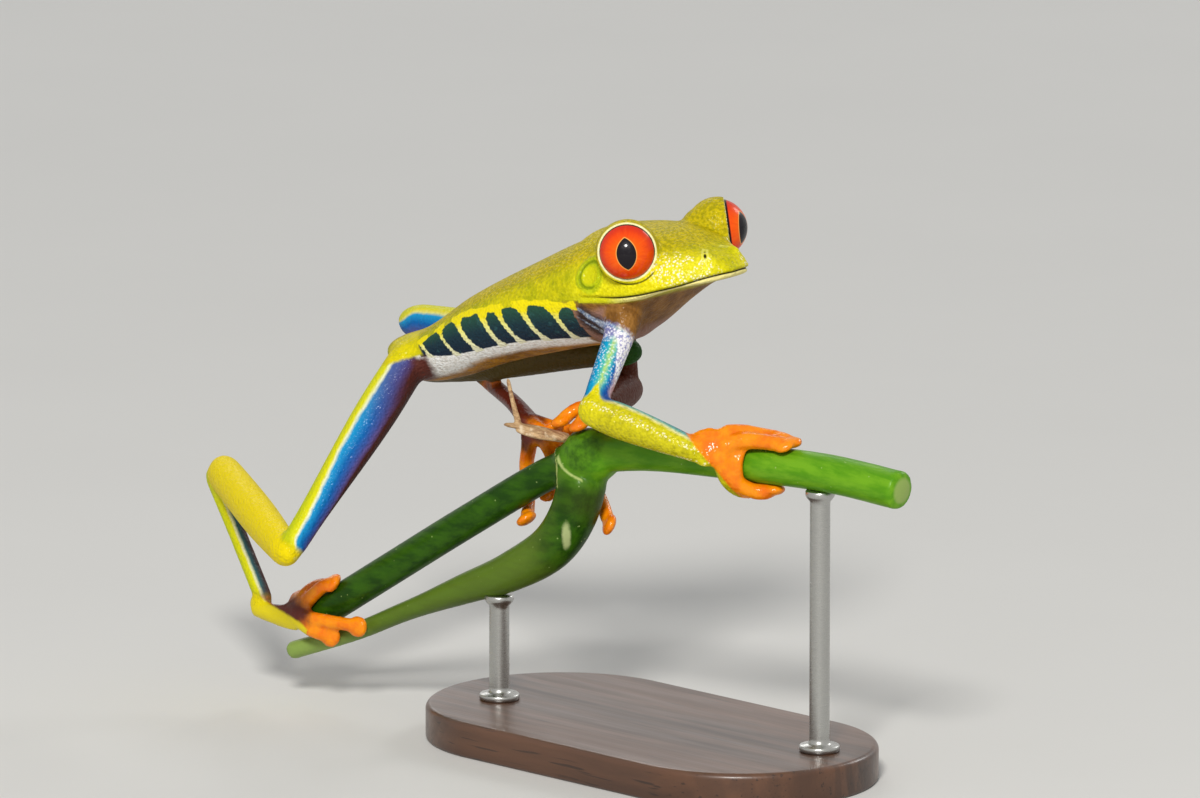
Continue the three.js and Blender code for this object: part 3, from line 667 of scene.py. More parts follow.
def flankMarks(points, at, fields):
    # the dark patch with its bars and the line over it, and under it the white band and a golden band, partly
    # painted shade
    t, angle, mm = (at["belly"][key] for key in ("t", "angle", "mm"))
    length = flank["length"]
    top, low = between(flank["edges"], t).T
    down, up = (top - angle) * mm, (angle - low) * mm
    share = np.clip((angle - low) / (top - low), -1, 2)
    body = closest(at["out"], "trunk", "head")
    inFlank = least(down, up, (t - flank["from"]) * length, (flank["to"] - t) * length)
    fields["flank"] = np.minimum(inFlank, body + 0.3)
    fields["share"] = share
    bars = np.full(len(points), -9.0)
    for place, half, lean, flare in flank["bars"]:
        bend = lean * (share - 0.5) + 0.5 * (share - 0.5) ** 2
        wider = flare * smooth(share, 0.6, 1.1) ** 2 + 0.25 * smooth(share, 0.18, -0.02) - 0.06
        bars = np.maximum(bars, half + wider - np.abs((t - place) * length - bend))
    fields["bars"] = np.minimum(bars, inFlank + 0.25)
    thick = 0.4 + 0.1 * np.sin(t * 61) + 0.07 * np.sin(t * 143 + 1)
    unbroken = np.full(len(points), 9.0)
    for place in flank["breaks"]:
        unbroken = np.minimum(unbroken, np.abs(t - place) * length - 0.55)
    fields["line"] = least(thick - np.abs(down + 0.3), (t - 0.17) * length, (0.85 - t) * length,
                           body, unbroken)
    before = flank["bellyEnd"] - at["head"][:, 0]
    under = (low - angle) * mm
    fields["belly"] = least(under + 0.3, body + 0.2, before)
    fields["under"] = least(under - 3 + 1.6 * smooth(t, 0.2, 0.42), body, before)
    at["under"] = under
    # behind the jaw the patch ends in bare skin
    fields["axilla"] = least((t - flank["to"]) * length, down - 0.2, body + 0.6, -2.6 - at["head"][:, 0])


def foldMarks(points, at, fields):
    # two pale folds with a dark one between them, from behind the jaw to the shoulder
    start, run = armFolds[0], armFolds[1] - armFolds[0]
    over = unit(np.cross(towards, run))
    place = (points - start) @ run / (run @ run)
    beside = (points - start) @ over * np.sign(over[2]) + 0.2 * np.sin(3 * place)
    inFold = np.maximum(0.1 + 0.22 * place - np.abs(beside),
                        0.12 * place - np.abs(beside + 0.75 - 0.3 * place))
    atFolds = least(place * 3 + 0.3, (1.2 - place) * 3, 4 - lengths(points - armFolds[1]))
    fields["folds"] = np.minimum(inFold, atFolds)
    fields["foldDark"] = np.minimum(0.8 - np.abs(beside + 0.3), atFolds)


def limbMarks(points, at, fields):
    # for each kind of limb: how far inside it, how far round from its outer line, and how far along it
    out = at["out"]
    for kind in limbs:
        onLeft = out[kind + "Left"] < out[kind + "Right"]
        roundness, along = (np.where(onLeft, at[key][kind + "Left"], at[key][kind + "Right"])
                            for key in ("roundness", "along"))
        fields[kind] = closest(out, kind)
        if kind == "upperArm":
            below = (along - 0.08 - 0.1 * roundness) * armLength
            # the upper arm's top under the jaw, which takes the throat's painted shade
            fields["shoulder"] = least(fields[kind] + 0.4, 0.3 - below, 0.5 - onLeft)
            fields[kind] = np.minimum(fields[kind], below)
        if kind == "shank":
            rimmed = onLeft * smooth(along, 0.94, 1.06)
            roundness = roundness * np.where(onLeft, 1, 0.3) - 0.3 * rimmed
        if kind == "thigh":
            roundness = roundness + (0.08 * (1 - along) - 0.14 * smooth(along, 0.5, 0.9)
                                     - 0.3 * smooth(along, 0.92, 1.02))
        if kind == "forearm":
            roundness = roundness + 0.1 * smooth(along, 0.4, 1)
        fields[kind + "Round"] = roundness
        at[kind + "Along"] = along
    fields["thighAlong"] = at["thighAlong"]


def legMarks(points, at, fields):
    out = at["out"]
    overCut = (points - hipCut[0]) @ unit(np.cross(towards, hipCut[1] - hipCut[0]))
    nearThigh = closest(out, "thighRight")
    fields["hip"] = np.minimum(nearThigh + 0.8, overCut)
    fields["groin"] = least(nearThigh + 1.1, closest(out, "trunk") + 0.6, 0.6 - fields["hip"], at["under"])
    # painted shade: the far thigh dusky brown and the far knee dark green
    fields["farThighShade"] = closest(out, "thighLeft") + 0.2
    fields["farShank"] = np.minimum(closest(out, "shankLeft"), (0.27 - fields["shankRound"]) * 6)
    fields["farKneeShade"] = 2.5 - lengths(points - arr(joints["kneeLeft"]))


armLength = 9.7  # of an upper arm, from shoulder to elbow


def armMarks(points, at, fields):
    # painted shade on the far arm, a dark brown over its inner side, then the near upper arm: frosted above,
    # beaded, and yellow at its foot
    farArm = route([joints["shoulderLeft"], joints["elbowLeft"], joints["wristLeft"]], 61)
    _, off = nearestOn(points, farArm)
    fields["farArm"] = least(closest(at["out"], "upperArmLeft", "forearmLeft"),
                             off @ towards + 0.2,
                             np.maximum(fields["upperArm"], fields["forearm"])) + 0.2
    along, roundness = at["upperArmAlong"], fields["upperArmRound"]
    frosted = 0.24 + 0.4 * smooth(roundness, 0.35, 0.75)
    nearArm = np.minimum(fields["upperArm"], -fields["farArm"])
    fields["armTop"] = np.minimum(nearArm + 0.1, (frosted - along) * armLength)
    fields["armBeads"] = np.minimum(nearArm, (0.8 - along) * armLength)
    crook = (points - arr(joints["elbowRight"]) - arr(1.5, 0.7, 1.9)) / arr(1, 1, 1.8)
    fields["armDeep"] = 0.75 - lengths(crook)
    foot = along - 0.72 - np.abs(roundness - 0.33)
    fields["armFoot"] = np.minimum(fields["upperArm"] + 1, foot * armLength)


def pawMarks(points, at, fields):
    # orange hands and feet, with painted shade in dark brown on the feet's soles, and the near foot's yellow
    # outer edge
    out = at["out"]
    slope = (points - arr(joints["wristRight"])) @ (0.9 * across + arr(0, 0, 0.75))
    fields["paw"] = np.where(out["handRight"] < 2.5,
                             np.minimum(slope - 0.2, closest(out, "hand", "foot", "forearm")),
                             closest(out, "hand", "foot"))
    sole = np.full(len(points), -9.0)
    for name in ("footRight", "footLeft"):
        palm, *digits = paws[name]["rows"]
        fromPalm, fromDigits = (lengths(nearestOn(points, row)[1])
                                for row in (palm, np.vstack([row[10:] for row in digits])))
        sole = np.maximum(sole, np.minimum(fromDigits - fromPalm + 0.5, 3 - fromPalm))
        if name == "footRight":
            start = arr(joints["ankleRight"])
            way = arr(paws[name]["palm"][-1]) - start
            place = np.clip((points - start) @ way / (way @ way), -0.3, 1.2)
            beyond = points - start - place[:, None] * way
            outer = beyond @ unit(-across - arr(0, 0, 0.9)) - 0.05 - 0.55 * place
            fields["edge"] = np.where(fromPalm < 2.2, outer, -9)
    fields["sole"] = np.minimum(sole, closest(out, "foot") - 0.1)


def faceMarks(points, at, fields):
    out, h, (angle, mm) = at["out"], at["head"], (at["belly"][key] for key in ("angle", "mm"))
    x = np.clip(h[:, 0], head["nape"], head["snout"])
    wide, mouth = between(head["stations"], x)[:, :2].T
    above, aside = h[:, 2] - mouth, np.abs(h[:, 1])
    onSide = aside - 0.8 * wide + 4 * smooth(x, 7, 7.6)
    fields["above"] = above
    fields["front"] = least(h[:, 0] + 5.2, closest(out, "head") + 3, onSide)
    fields["ahead"] = h[:, 0]
    # the top of the head and back, painted a darker bronze, partly painted shade
    fields["crown"] = np.where(out["head"] < out["trunk"], above - 3.3, (angle - 35) * mm)
    # the side of the face that is painted lighter, as painted light
    fields["litCheek"] = least(-above + 3.4, above, aside - 0.5 * wide, h[:, 0] + 6)
    # before the eyes, where the painted highlights lie and the skin is wetter
    lore = lengths((h[:, [0, 2]] - arr(5.1, -1.5)) / arr(3.7, 2))
    fields["lore"] = np.where(aside > 0.6 * wide, 1 - lore, -1)
    fields["wet"] = np.maximum(closest(out, "forearmRight"), fields["lore"])
    # the throat, painted brown as painted shade
    fields["throat"] = least(-above - 0.5, h[:, 0] + 7.5, closest(out, "head", "trunk") + 0.3)
    right, left = (lidRound(points, one) for one in eyes.values())
    for i, name in enumerate(("lidRadius", "lidLow", "lidFront", "lidReach")):
        fields[name] = np.where(h[:, 1] < 0, right[i], left[i])
    fields["nostril"] = np.minimum(nostrilSpot(h, -1), nostrilSpot(h, 1))
    fields["ear"] = np.minimum(earSpot(h, -1), earSpot(h, 1))
    fields["earBack"] = head["ear"][0] + 0.6 - h[:, 0]


def markings(points):
    # fields for the skin's material: most are distances in mm, above zero inside a marking
    at, fields = fits(points), {}
    for marks in (flankMarks, foldMarks, limbMarks, legMarks, armMarks, pawMarks, faceMarks):
        marks(points, at, fields)
    return fields


# materials

def tone(red, green, blue):  # a colour written as 0 to 255
    c = arr(red, green, blue) / 255
    return (*np.where(c <= 0.04045, c / 12.92, ((c + 0.055) / 1.055) ** 2.4), 1)


def put(tree, kind, inputs=None, **settings):
    made = tree.nodes.new("ShaderNode" + kind)
    for key, value in settings.items():
        setattr(made, key, value)
    for key, value in (inputs or {}).items():
        if isinstance(value, bpy.types.NodeSocket):
            tree.links.new(value, made.inputs[key])
        else:
            made.inputs[key].default_value = value
    return made


def material(name, roughness=0.4, coat=0, coatRoughness=0.03, specular=0.5, metallic=0):
    made = bpy.data.materials.new(name)
    made.use_nodes = True
    tree = made.node_tree
    tree.nodes.clear()
    shader = put(tree, "BsdfPrincipled", {"Roughness": roughness, "Coat Weight": coat, "Metallic": metallic,
                                          "Coat Roughness": coatRoughness, "Specular IOR Level": specular})
    put(tree, "OutputMaterial", {"Surface": shader.outputs[0]}).is_active_output = True
    return made, tree, shader


def spots(tree, size, detail=3.0, rough=0.55, stretch=None):
    # soft noise whose patches are about `size` mm across
    where = put(tree, "TexCoord").outputs["Object"]
    if stretch:
        where = put(tree, "Mapping", {"Vector": where, "Scale": stretch}).outputs[0]
    return put(tree, "TexNoise", {"Vector": where, "Scale": 1000 / size, "Detail": detail,
                                  "Roughness": rough}).outputs[0]


def cells(tree, size, **settings):
    # a pattern of cells about `size` mm across: 0 at the middle of each, and rising away from it
    where = put(tree, "TexCoord").outputs["Object"]
    return put(tree, "TexVoronoi", {"Vector": where, "Scale": 1000 / size}, **settings).outputs[0]


def spread(tree, value, low, high, to=(0, 1), kind="SMOOTHSTEP"):
    levels = {0: value, 1: low, 2: high, 3: to[0], 4: to[1]}
    return put(tree, "MapRange", levels, interpolation_type=kind).outputs[0]


def mixed(tree, factor, first, second, blend="MIX"):
    made = put(tree, "Mix", {0: factor, 6: first, 7: second}, data_type="RGBA", blend_type=blend)
    return made.outputs[2]


def mottled(tree, pattern, low, high, first, second, share=1):
    # the first colour turns into the second, or a share of it, as the pattern goes from low to high
    return mixed(tree, spread(tree, pattern, low, high, (0, share)), first, second)


def maths(tree, operation, *values):
    return put(tree, "Math", dict(enumerate(values)), operation=operation).outputs[0]


def field(tree, name):
    return put(tree, "Attribute", attribute_name=name).outputs["Fac"]


def ramp(tree, factor, *stops):
    made = put(tree, "ValToRGB", {0: factor})
    elements = made.color_ramp.elements
    while len(elements) < len(stops):
        elements.new(0.5)
    for element, (place, colour) in zip(elements, stops):
        element.position = place
        element.color = colour
    return made.outputs[0]


def wobbled(tree, value, amount, size):
    # the value moved up or down by as much as half the amount, in patches about `size` mm across
    return maths(tree, "MULTIPLY_ADD", spots(tree, size), amount, maths(tree, "SUBTRACT", value, amount / 2))


def laid(tree, under, paint, where, soft=0.06, wobble=0.0, size=0.5, share=1.0):
    # paint over a colour wherever a field or socket is above zero, with a soft and uneven edge
    value = field(tree, where) if isinstance(where, str) else where
    if wobble:
        value = wobbled(tree, value, wobble, size)
    return mottled(tree, value, -soft, soft, under, paint, share)


def painted(tree, colour, *coats):
    # each coat is its paint, where it lies, and then its softness, wobble, patch size and share
    for coat in coats:
        colour = laid(tree, colour, *coat)
    return colour


def stripe(tree, name, middle, half, limit=None):
    # above zero where the named field is within `half` of the middle, and the limit is above zero too
    away = maths(tree, "ABSOLUTE", maths(tree, "SUBTRACT", field(tree, name), middle))
    inside = maths(tree, "SUBTRACT", half, away)
    return maths(tree, "MINIMUM", inside, field(tree, limit)) if limit else inside


def connect(tree, shader, **outputs):  # camelCase names stand for the shader's own, such as baseColor
    for key, output in outputs.items():
        words = "".join(" " + c if c.isupper() else c for c in key)
        tree.links.new(output, shader.inputs[words.title()])


def relief(tree, *layers):
    # small bumps: each layer is a height from 0 to 1 and its depth in mm
    normal = {}
    for height, depth in layers:
        heights = {"Height": height, "Distance": depth / 1000, "Strength": 1.0}
        normal = {"Normal": put(tree, "Bump", {**heights, **normal}).outputs[0]}
    return normal["Normal"]


leaf, lime, white = tone(196, 204, 18), tone(226, 222, 20), tone(236, 238, 196)
cyan, blue, violet = tone(24, 150, 205), tone(12, 96, 170), tone(96, 82, 142)
maroon, darkMaroon, flesh = tone(78, 36, 30), tone(66, 32, 26), tone(196, 120, 88)
# each limb's colours, from its outer line at 0 round to its inner one at 1
limbRings = {
    "thigh": [(0, leaf), (0.2, lime), (0.25, white), (0.31, cyan), (0.48, blue), (0.6, tone(64, 84, 158)),
              (0.68, violet), (0.75, maroon), (0.92, darkMaroon)],
    "shank": [(0, tone(242, 218, 2)), (0.25, tone(240, 214, 2)), (0.32, tone(224, 220, 130)), (0.38, cyan),
              (0.55, blue), (0.8, violet)],
    "tarsus": [(0, leaf), (0.26, lime), (0.34, white), (0.44, tone(60, 110, 120)), (0.7, maroon)],
    "upperArm": [(0, tone(0, 120, 175)), (0.2, tone(0, 160, 205)), (0.3, tone(80, 186, 170)),
                 (0.38, tone(176, 210, 110)), (0.47, tone(70, 180, 180)), (0.56, tone(20, 120, 190)),
                 (0.64, tone(40, 90, 160)), (0.72, tone(220, 190, 200)), (0.9, tone(190, 120, 110))],
    "forearm": [(0, tone(208, 198, 8)), (0.45, tone(218, 208, 14)), (0.52, tone(240, 236, 170)),
                (0.6, tone(120, 190, 180)), (0.72, tone(60, 140, 160)), (0.9, flesh)],
}
thighRoot = [(0, leaf), (0.22, lime), (0.27, white), (0.32, tone(74, 96, 156)), (0.5, tone(72, 68, 126)),
             (0.66, maroon), (0.92, darkMaroon)]
# how uneven the rings are, in mm, and in what size of patch
ringEdge = {"upperArm": (0.2, 0.7), "other": (0.08, 1.2)}


def greenBack(tree, fine):
    green = mottled(tree, spots(tree, 2.4), 0.35, 0.65, tone(208, 198, 8), tone(170, 172, 6))
    green = mottled(tree, fine, 0.5, 0.75, green, tone(140, 146, 6), 0.5)
    green = mottled(tree, fine, 0.5, 0.28, green, tone(232, 224, 36), 0.4)
    # painted light: the side of the face under the eyes is painted a brighter yellow, as if lit
    litCheek = mottled(tree, fine, 0.35, 0.6, tone(252, 242, 30), tone(234, 222, 4))
    # the top of the head and back: the skin's bronze tone, painted darker as painted shade
    bronzeAndShade = mottled(tree, fine, 0.4, 0.62, tone(210, 180, 4), tone(164, 144, 2))
    return painted(tree, green, (litCheek, "litCheek", 1.2, 0.8, 1.2, 0.8), (bronzeAndShade, "crown", 1.2, 1.4, 1.6, 0.6))


def undersideColours(tree, colour, fine):
    pale = mottled(tree, spots(tree, 0.3, 2), 0.4, 0.65, tone(255, 255, 252), tone(232, 228, 220))
    # a golden band under the white belly: the skin's warm tone, darkened as painted shade
    goldAndShade = mottled(tree, spots(tree, 1.5), 0.35, 0.65, tone(184, 126, 10), tone(134, 88, 6))
    # painted shade: the pale throat is painted a dull brown, and so is the shoulder's top under the jaw
    throat = mottled(tree, spots(tree, 1.5), 0.35, 0.65, tone(152, 106, 48), tone(118, 78, 30))
    folds = mottled(tree, fine, 0.4, 0.6, tone(196, 206, 220), tone(120, 140, 172))
    return painted(tree, colour,
                   (throat, "throat", 0.35, 0.5),
                   (pale, "belly", 0.25, 0.3),
                   (goldAndShade, "under", 0.5, 0.6, 1.2),
                   (throat, "shoulder", 0.3, 0.4),
                   (tone(150, 112, 98), "axilla", 0.5, 0.6),
                   (tone(56, 42, 40), "foldDark", 0.35, 0.6),
                   (folds, "folds", 0.12, 0.35, 0.5))


def flankColours(tree, colour):
    share = field(tree, "share")
    dark = ramp(tree, share, (0.0, tone(24, 38, 58)), (0.5, tone(26, 52, 62)), (0.9, tone(38, 78, 62)))
    dark = mottled(tree, spots(tree, 0.8), 0.55, 0.75, dark, tone(60, 110, 110), 0.4)
    straw = ramp(tree, share, (0.0, tone(236, 234, 200)), (0.55, tone(240, 236, 140)),
                 (0.85, tone(244, 226, 20)))
    return painted(tree, colour,
                   (dark, "flank", 0.07, 0.16, 0.5),
                   (straw, "bars", 0.07, 0.14, 0.5),
                   (tone(244, 226, 12), "line", 0.1, 0.25, 0.7))


def limbColours(tree, colour, beads):
    grainy = spread(tree, spots(tree, 0.4, 3), 0.4, 0.7, (0, 0.75))
    thighAlong = field(tree, "thighAlong")
    for limb, stops in limbRings.items():
        place = wobbled(tree, field(tree, limb + "Round"), *ringEdge.get(limb, ringEdge["other"]))
        paint = ramp(tree, place, *stops)
        if limb == "thigh":
            paint = mottled(tree, thighAlong, 0.4, 0.08, paint, ramp(tree, place, *thighRoot))
        if limb == "forearm":
            paint = mixed(tree, grainy, paint, mixed(tree, 1.0, paint, tone(206, 206, 120), "MULTIPLY"))
        colour = laid(tree, colour, paint, limb, 0.25, 0.3)
    hip = mottled(tree, spots(tree, 0.8), 0.35, 0.65, tone(226, 210, 8), tone(204, 194, 8))
    # painted shade on the far thigh, dusky brown going to dark green at the knee
    shadedThigh = mottled(tree, thighAlong, 0.82, 0.98, tone(88, 74, 34), tone(40, 84, 28))
    elbow = mixed(tree, grainy, tone(226, 214, 12), tone(196, 188, 4))
    colour = painted(tree, colour,
                     (tone(92, 46, 38), "groin", 0.5, 0.6),
                     (hip, "hip", 0.2, 0.3),
                     (tone(200, 206, 60), "farShank", 0.5, 0.4, 0.5, 0.75),
                     (shadedThigh, "farThighShade", 0.3, 0.4),
                     (tone(40, 84, 28), "farKneeShade", 0.4, 0.4),
                     (tone(20, 66, 150), "armDeep", 0.5, 0.3),
                     (elbow, "armFoot", 0.3, 0.9, 0.4),
                     # the far arm's dark brown is painted shade
                     (tone(84, 34, 12), "farArm", 0.3, 0.4))
    frost = mottled(tree, beads, 0.42, 0.78, tone(250, 248, 250), tone(162, 162, 206))
    # painted shade: toward the upper arm's outer line the frost is dimmed to a violet grey
    shadedFrost = mottled(tree, beads, 0.25, 0.5, tone(226, 224, 240), tone(112, 112, 172))
    frost = mottled(tree, field(tree, "upperArmRound"), 0.42, 0.2, frost, shadedFrost, 0.85)
    colour = laid(tree, colour, frost, "armTop", 0.6, 1.4, 0.35)
    dewy = mottled(tree, beads, 0.22, 0.5, tone(236, 244, 248), colour)
    colour = mottled(tree, field(tree, "armBeads"), -0.1, 2.5, colour, dewy, 0.6)
    orange = mottled(tree, spots(tree, 1.4), 0.35, 0.7, tone(252, 148, 2), tone(238, 114, 2))
    return painted(tree, colour,
                   (orange, "paw", 0.15, 0.25),
                   # the feet's dark brown soles are painted shade
                   (tone(92, 34, 22), "sole", 1.1, 1.4, 0.8),
                   (tone(224, 206, 12), "edge", 0.15, 0.2))


def faceColours(tree, colour, beads):
    colour = painted(tree, colour,
                     (tone(140, 176, 12), stripe(tree, "ear", 0, 2), 0.25, 0.5, 0.6, 0.55),
                     (tone(206, 204, 14), stripe(tree, "ear", 0, 1), 0.15, 0.2),
                     (tone(112, 134, 8), stripe(tree, "ear", 1.42, 0.16, "earBack"), 0.12, 0.15, 0.5, 0.8))
    # painted highlights: small pale wet glints painted before the eyes and along the near forearm
    paintedGlints = maths(tree, "MULTIPLY", spread(tree, beads, 0.5, 0.26), spread(tree, spots(tree, 0.8), 0.42, 0.5))
    cheekGlints = maths(tree, "MULTIPLY", paintedGlints, spread(tree, field(tree, "lore"), 0, 0.45))
    colour = mixed(tree, cheekGlints, colour, tone(255, 250, 214))
    armGlintLine = stripe(tree, "forearmRound", 0.3, 0.06, "wet")
    armGlints = maths(tree, "MULTIPLY", paintedGlints, spread(tree, armGlintLine, -0.02, 0.03))
    colour = mixed(tree, maths(tree, "MULTIPLY", armGlints, 0.7), colour, tone(255, 252, 214))
    # the lip's cream fades and the mouth line thins toward the back of the jaw
    ahead = field(tree, "ahead")
    cream = mottled(tree, ahead, -2.5, 1.2, tone(206, 204, 20), tone(244, 232, 150))
    parting = maths(tree, "ADD", stripe(tree, "above", 0, 0.08, "front"),
                    spread(tree, ahead, -5.4, 0, (-0.1, 0)))
    # painted shade: a dark olive line in the crease under each eye, fading out toward the upper lid
    thin = maths(tree, "MULTIPLY_ADD", field(tree, "lidLow"), 0.3, -0.3)
    crease = maths(tree, "ADD", stripe(tree, "lidRadius", eye["crease"], 0.08, "lidReach"), thin)
    return painted(tree, colour,
                   # painted light at the nostrils: a pale painted highlight on the mound round each and
                   # painted shade in the slit
                   (tone(240, 236, 110), stripe(tree, "nostril", 2, 0.7), 0.4, 0, 0.5, 0.6),
                   (tone(40, 36, 8), stripe(tree, "nostril", 0, 1), 0.25),
                   (cream, stripe(tree, "above", -0.29, 0.24, "front"), 0.06, 0.14),
                   (tone(44, 40, 8), parting, 0.05),
                   (tone(84, 84, 6), crease, 0.05, 0, 0.6, 0.9),
                   (tone(250, 244, 186), stripe(tree, "lidRadius", eye["rim"], 0.11, "lidFront"), 0.05))


def skinMaterial():
    made, tree, shader = material("moist_skin", specular=0.08, coatRoughness=0.12)
    fine, beads, paw = spots(tree, 0.35, 2), cells(tree, 0.27), field(tree, "paw")
    colour = undersideColours(tree, greenBack(tree, fine), fine)
    colour = limbColours(tree, flankColours(tree, colour), beads)
    colour = faceColours(tree, colour, beads)
    # pebbled all over, but smoother and wetter on the hands and feet
    domes = spread(tree, cells(tree, 0.26, feature="SMOOTH_F1"), 0, 0.9, (1, 0), "LINEAR")
    pebbles = maths(tree, "MULTIPLY", domes, spread(tree, paw, 0, 0.6, (1, 0.3)))
    normal = relief(tree, (spots(tree, 0.9), 0.05), (pebbles, 0.11))
    moist = maths(tree, "MAXIMUM", spread(tree, field(tree, "wet"), 0, 0.6, (0.12, 0.4)),
                  spread(tree, paw, 0, 0.6, (0.12, 0.5)))
    connect(tree, shader, baseColor=colour, normal=normal, coatNormal=normal, coatWeight=moist,
            roughness=spread(tree, spots(tree, 0.5), 0.3, 0.7, (0.5, 0.65)))
    return made


def eyeMaterial():
    made, tree, shader = material("wet_eye", 0.3, specular=0.08, coat=0.3)
    fibre = put(tree, "Attribute", attribute_name="fibre").outputs["Vector"]
    strands = put(tree, "TexNoise", {"Vector": fibre, "Scale": 1.0, "Detail": 4, "Roughness": 0.6}).outputs[0]
    iris = ramp(tree, field(tree, "reach"), (0.0, tone(252, 114, 2)), (0.45, tone(250, 96, 2)),
                (0.75, tone(244, 78, 2)), (0.95, tone(214, 38, 6)))
    iris = mottled(tree, strands, 0.5, 0.75, iris, tone(210, 42, 8), 0.35)
    iris = mottled(tree, strands, 0.48, 0.28, iris, tone(255, 128, 30), 0.25)
    iris = mottled(tree, field(tree, "height"), 0.9, 2.4, iris, tone(218, 36, 8), 0.4)
    colour = painted(tree, iris,
                     (tone(24, 8, 8), "limbus", 0.05),
                     (tone(255, 176, 84), "pupilEdge", 0.03),
                     (tone(24, 20, 26), "pupil", 0.03))
    connect(tree, shader, baseColor=colour, normal=relief(tree, (strands, 0.02)))
    return made


def vineMaterial():
    made, tree, shader = material("green_stem", 0.42, specular=0.12, coat=0.08, coatRoughness=0.15)
    streak = spots(tree, 1.2, 4, 0.6, (0.25, 1.4, 1.0))
    green = mottled(tree, streak, 0.35, 0.65, tone(112, 168, 30), tone(84, 146, 16))
    rear = mottled(tree, streak, 0.35, 0.65, tone(50, 92, 8), tone(28, 64, 4))
    joint = mottled(tree, spots(tree, 1.0), 0.35, 0.65, tone(84, 134, 22), tone(52, 92, 12))
    colour = painted(tree, green,
                     (rear, "rear", 2.0),
                     (tone(58, 66, 12), "shaded", 1.2, 0.6, 1, 0.85),
                     (joint, "node", 0.6, 0.5))
    colour = mottled(tree, cells(tree, 1.1), 0.1, 0.04, colour, tone(176, 200, 120), 0.5)
    colour = painted(tree, colour,
                     (tone(110, 134, 44), "petiole", 0.8, 0.8, 1.5, 0.6),
                     (tone(146, 172, 88), "paler", 1.2, 0.8, 1.5, 0.75),
                     (tone(190, 196, 120), "ridge", 0.12, 0.2, 0.6, 0.8),
                     (tone(186, 202, 124), stripe(tree, "collar", 0, 0.12, "onCollar"), 0.12, 0.2, 0.5, 0.85),
                     (tone(178, 190, 130), "scar", 0.15, 0.3, 0.7, 0.9),
                     (tone(150, 176, 92), "cut", 0.05))
    connect(tree, shader, baseColor=colour, normal=relief(tree, (streak, 0.08), (spots(tree, 0.4), 0.02)))
    return made


def bractMaterial():
    made, tree, shader = material("dry_papery", 0.75)
    veins = spots(tree, 0.5, 4, 0.6, (0.2, 1.3, 1.3))
    colour = mottled(tree, veins, 0.35, 0.65, tone(206, 172, 126), tone(150, 112, 76))
    colour = mottled(tree, spots(tree, 0.9), 0.55, 0.75, colour, tone(224, 202, 168))
    connect(tree, shader, baseColor=colour, normal=relief(tree, (veins, 0.06)))
    return made


def woodMaterial():
    made, tree, shader = material("dark_wood", coat=0.25, coatRoughness=0.2)
    bend = spots(tree, 14, 2, 0.5, (0.3, 1, 1))
    grain = spots(tree, 2.2, 6, 0.6, (0.08, 1, 0.6))
    pores = spots(tree, 0.35, 2, 0.5, (0.05, 1, 1))
    where = put(tree, "TexCoord").outputs["Object"]
    lengthways = put(tree, "Mapping", {"Vector": where, "Scale": (0.04, 1, 0.5)})
    line = put(tree, "TexWave", {"Vector": lengthways.outputs[0], "Scale": 120, "Distortion": 9, "Detail": 3,
                                 "Detail Scale": 1.2}, bands_direction="Y").outputs[1]
    colour = mottled(tree, grain, 0.3, 0.7, tone(92, 60, 40), tone(58, 36, 24))
    colour = mottled(tree, line, 0.2, 0.8, colour, tone(44, 27, 19), 0.5)
    colour = mottled(tree, bend, 0.4, 0.7, colour, tone(118, 78, 52), 0.35)
    colour = mottled(tree, pores, 0.62, 0.72, colour, tone(28, 17, 12), 0.7)
    connect(tree, shader, baseColor=colour, normal=relief(tree, (pores, 0.02)),
            roughness=spread(tree, grain, 0.3, 0.7, (0.32, 0.46)))
    return made


def steelMaterial():
    made, tree, shader = material("satin_steel", metallic=1.0)
    turned = spots(tree, 0.25, 3, 0.6, (0.4, 0.4, 6))
    colour = mixed(tree, turned, tone(196, 196, 192), tone(168, 168, 166))
    connect(tree, shader, baseColor=colour, normal=relief(tree, (turned, 0.008)),
            roughness=spread(tree, turned, 0.3, 0.7, (0.24, 0.36)))
    return made


def keep(made, fields):
    # the fields are kept on the mesh for its material to read
    for name, values in fields.items():
        kind, slot = ("FLOAT_VECTOR", "vector") if values.ndim == 2 else ("FLOAT", "value")
        attribute = made.data.attributes.new(name, kind, "POINT")
        attribute.data.foreach_set(slot, values.astype(np.float32).ravel())


def finished(made, paint, slot, *nodes):
    made.data.materials.append(paint)
    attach(made, "root")
    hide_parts(*nodes)
    print(made.name, len(made.data.polygons), "faces")


# skin

skinPoints, skinFaces = frogSkin()
skinPoints = headRelief(skinPoints, skinFaces)
skin = meshObject("skin", skinPoints, skinFaces)
keep(skin, markings(skinPoints))
flesh = [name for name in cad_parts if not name.startswith(("eye", "perch", "stand"))]
finished(skin, skinMaterial(), "skin_green", *flesh)


# eyes

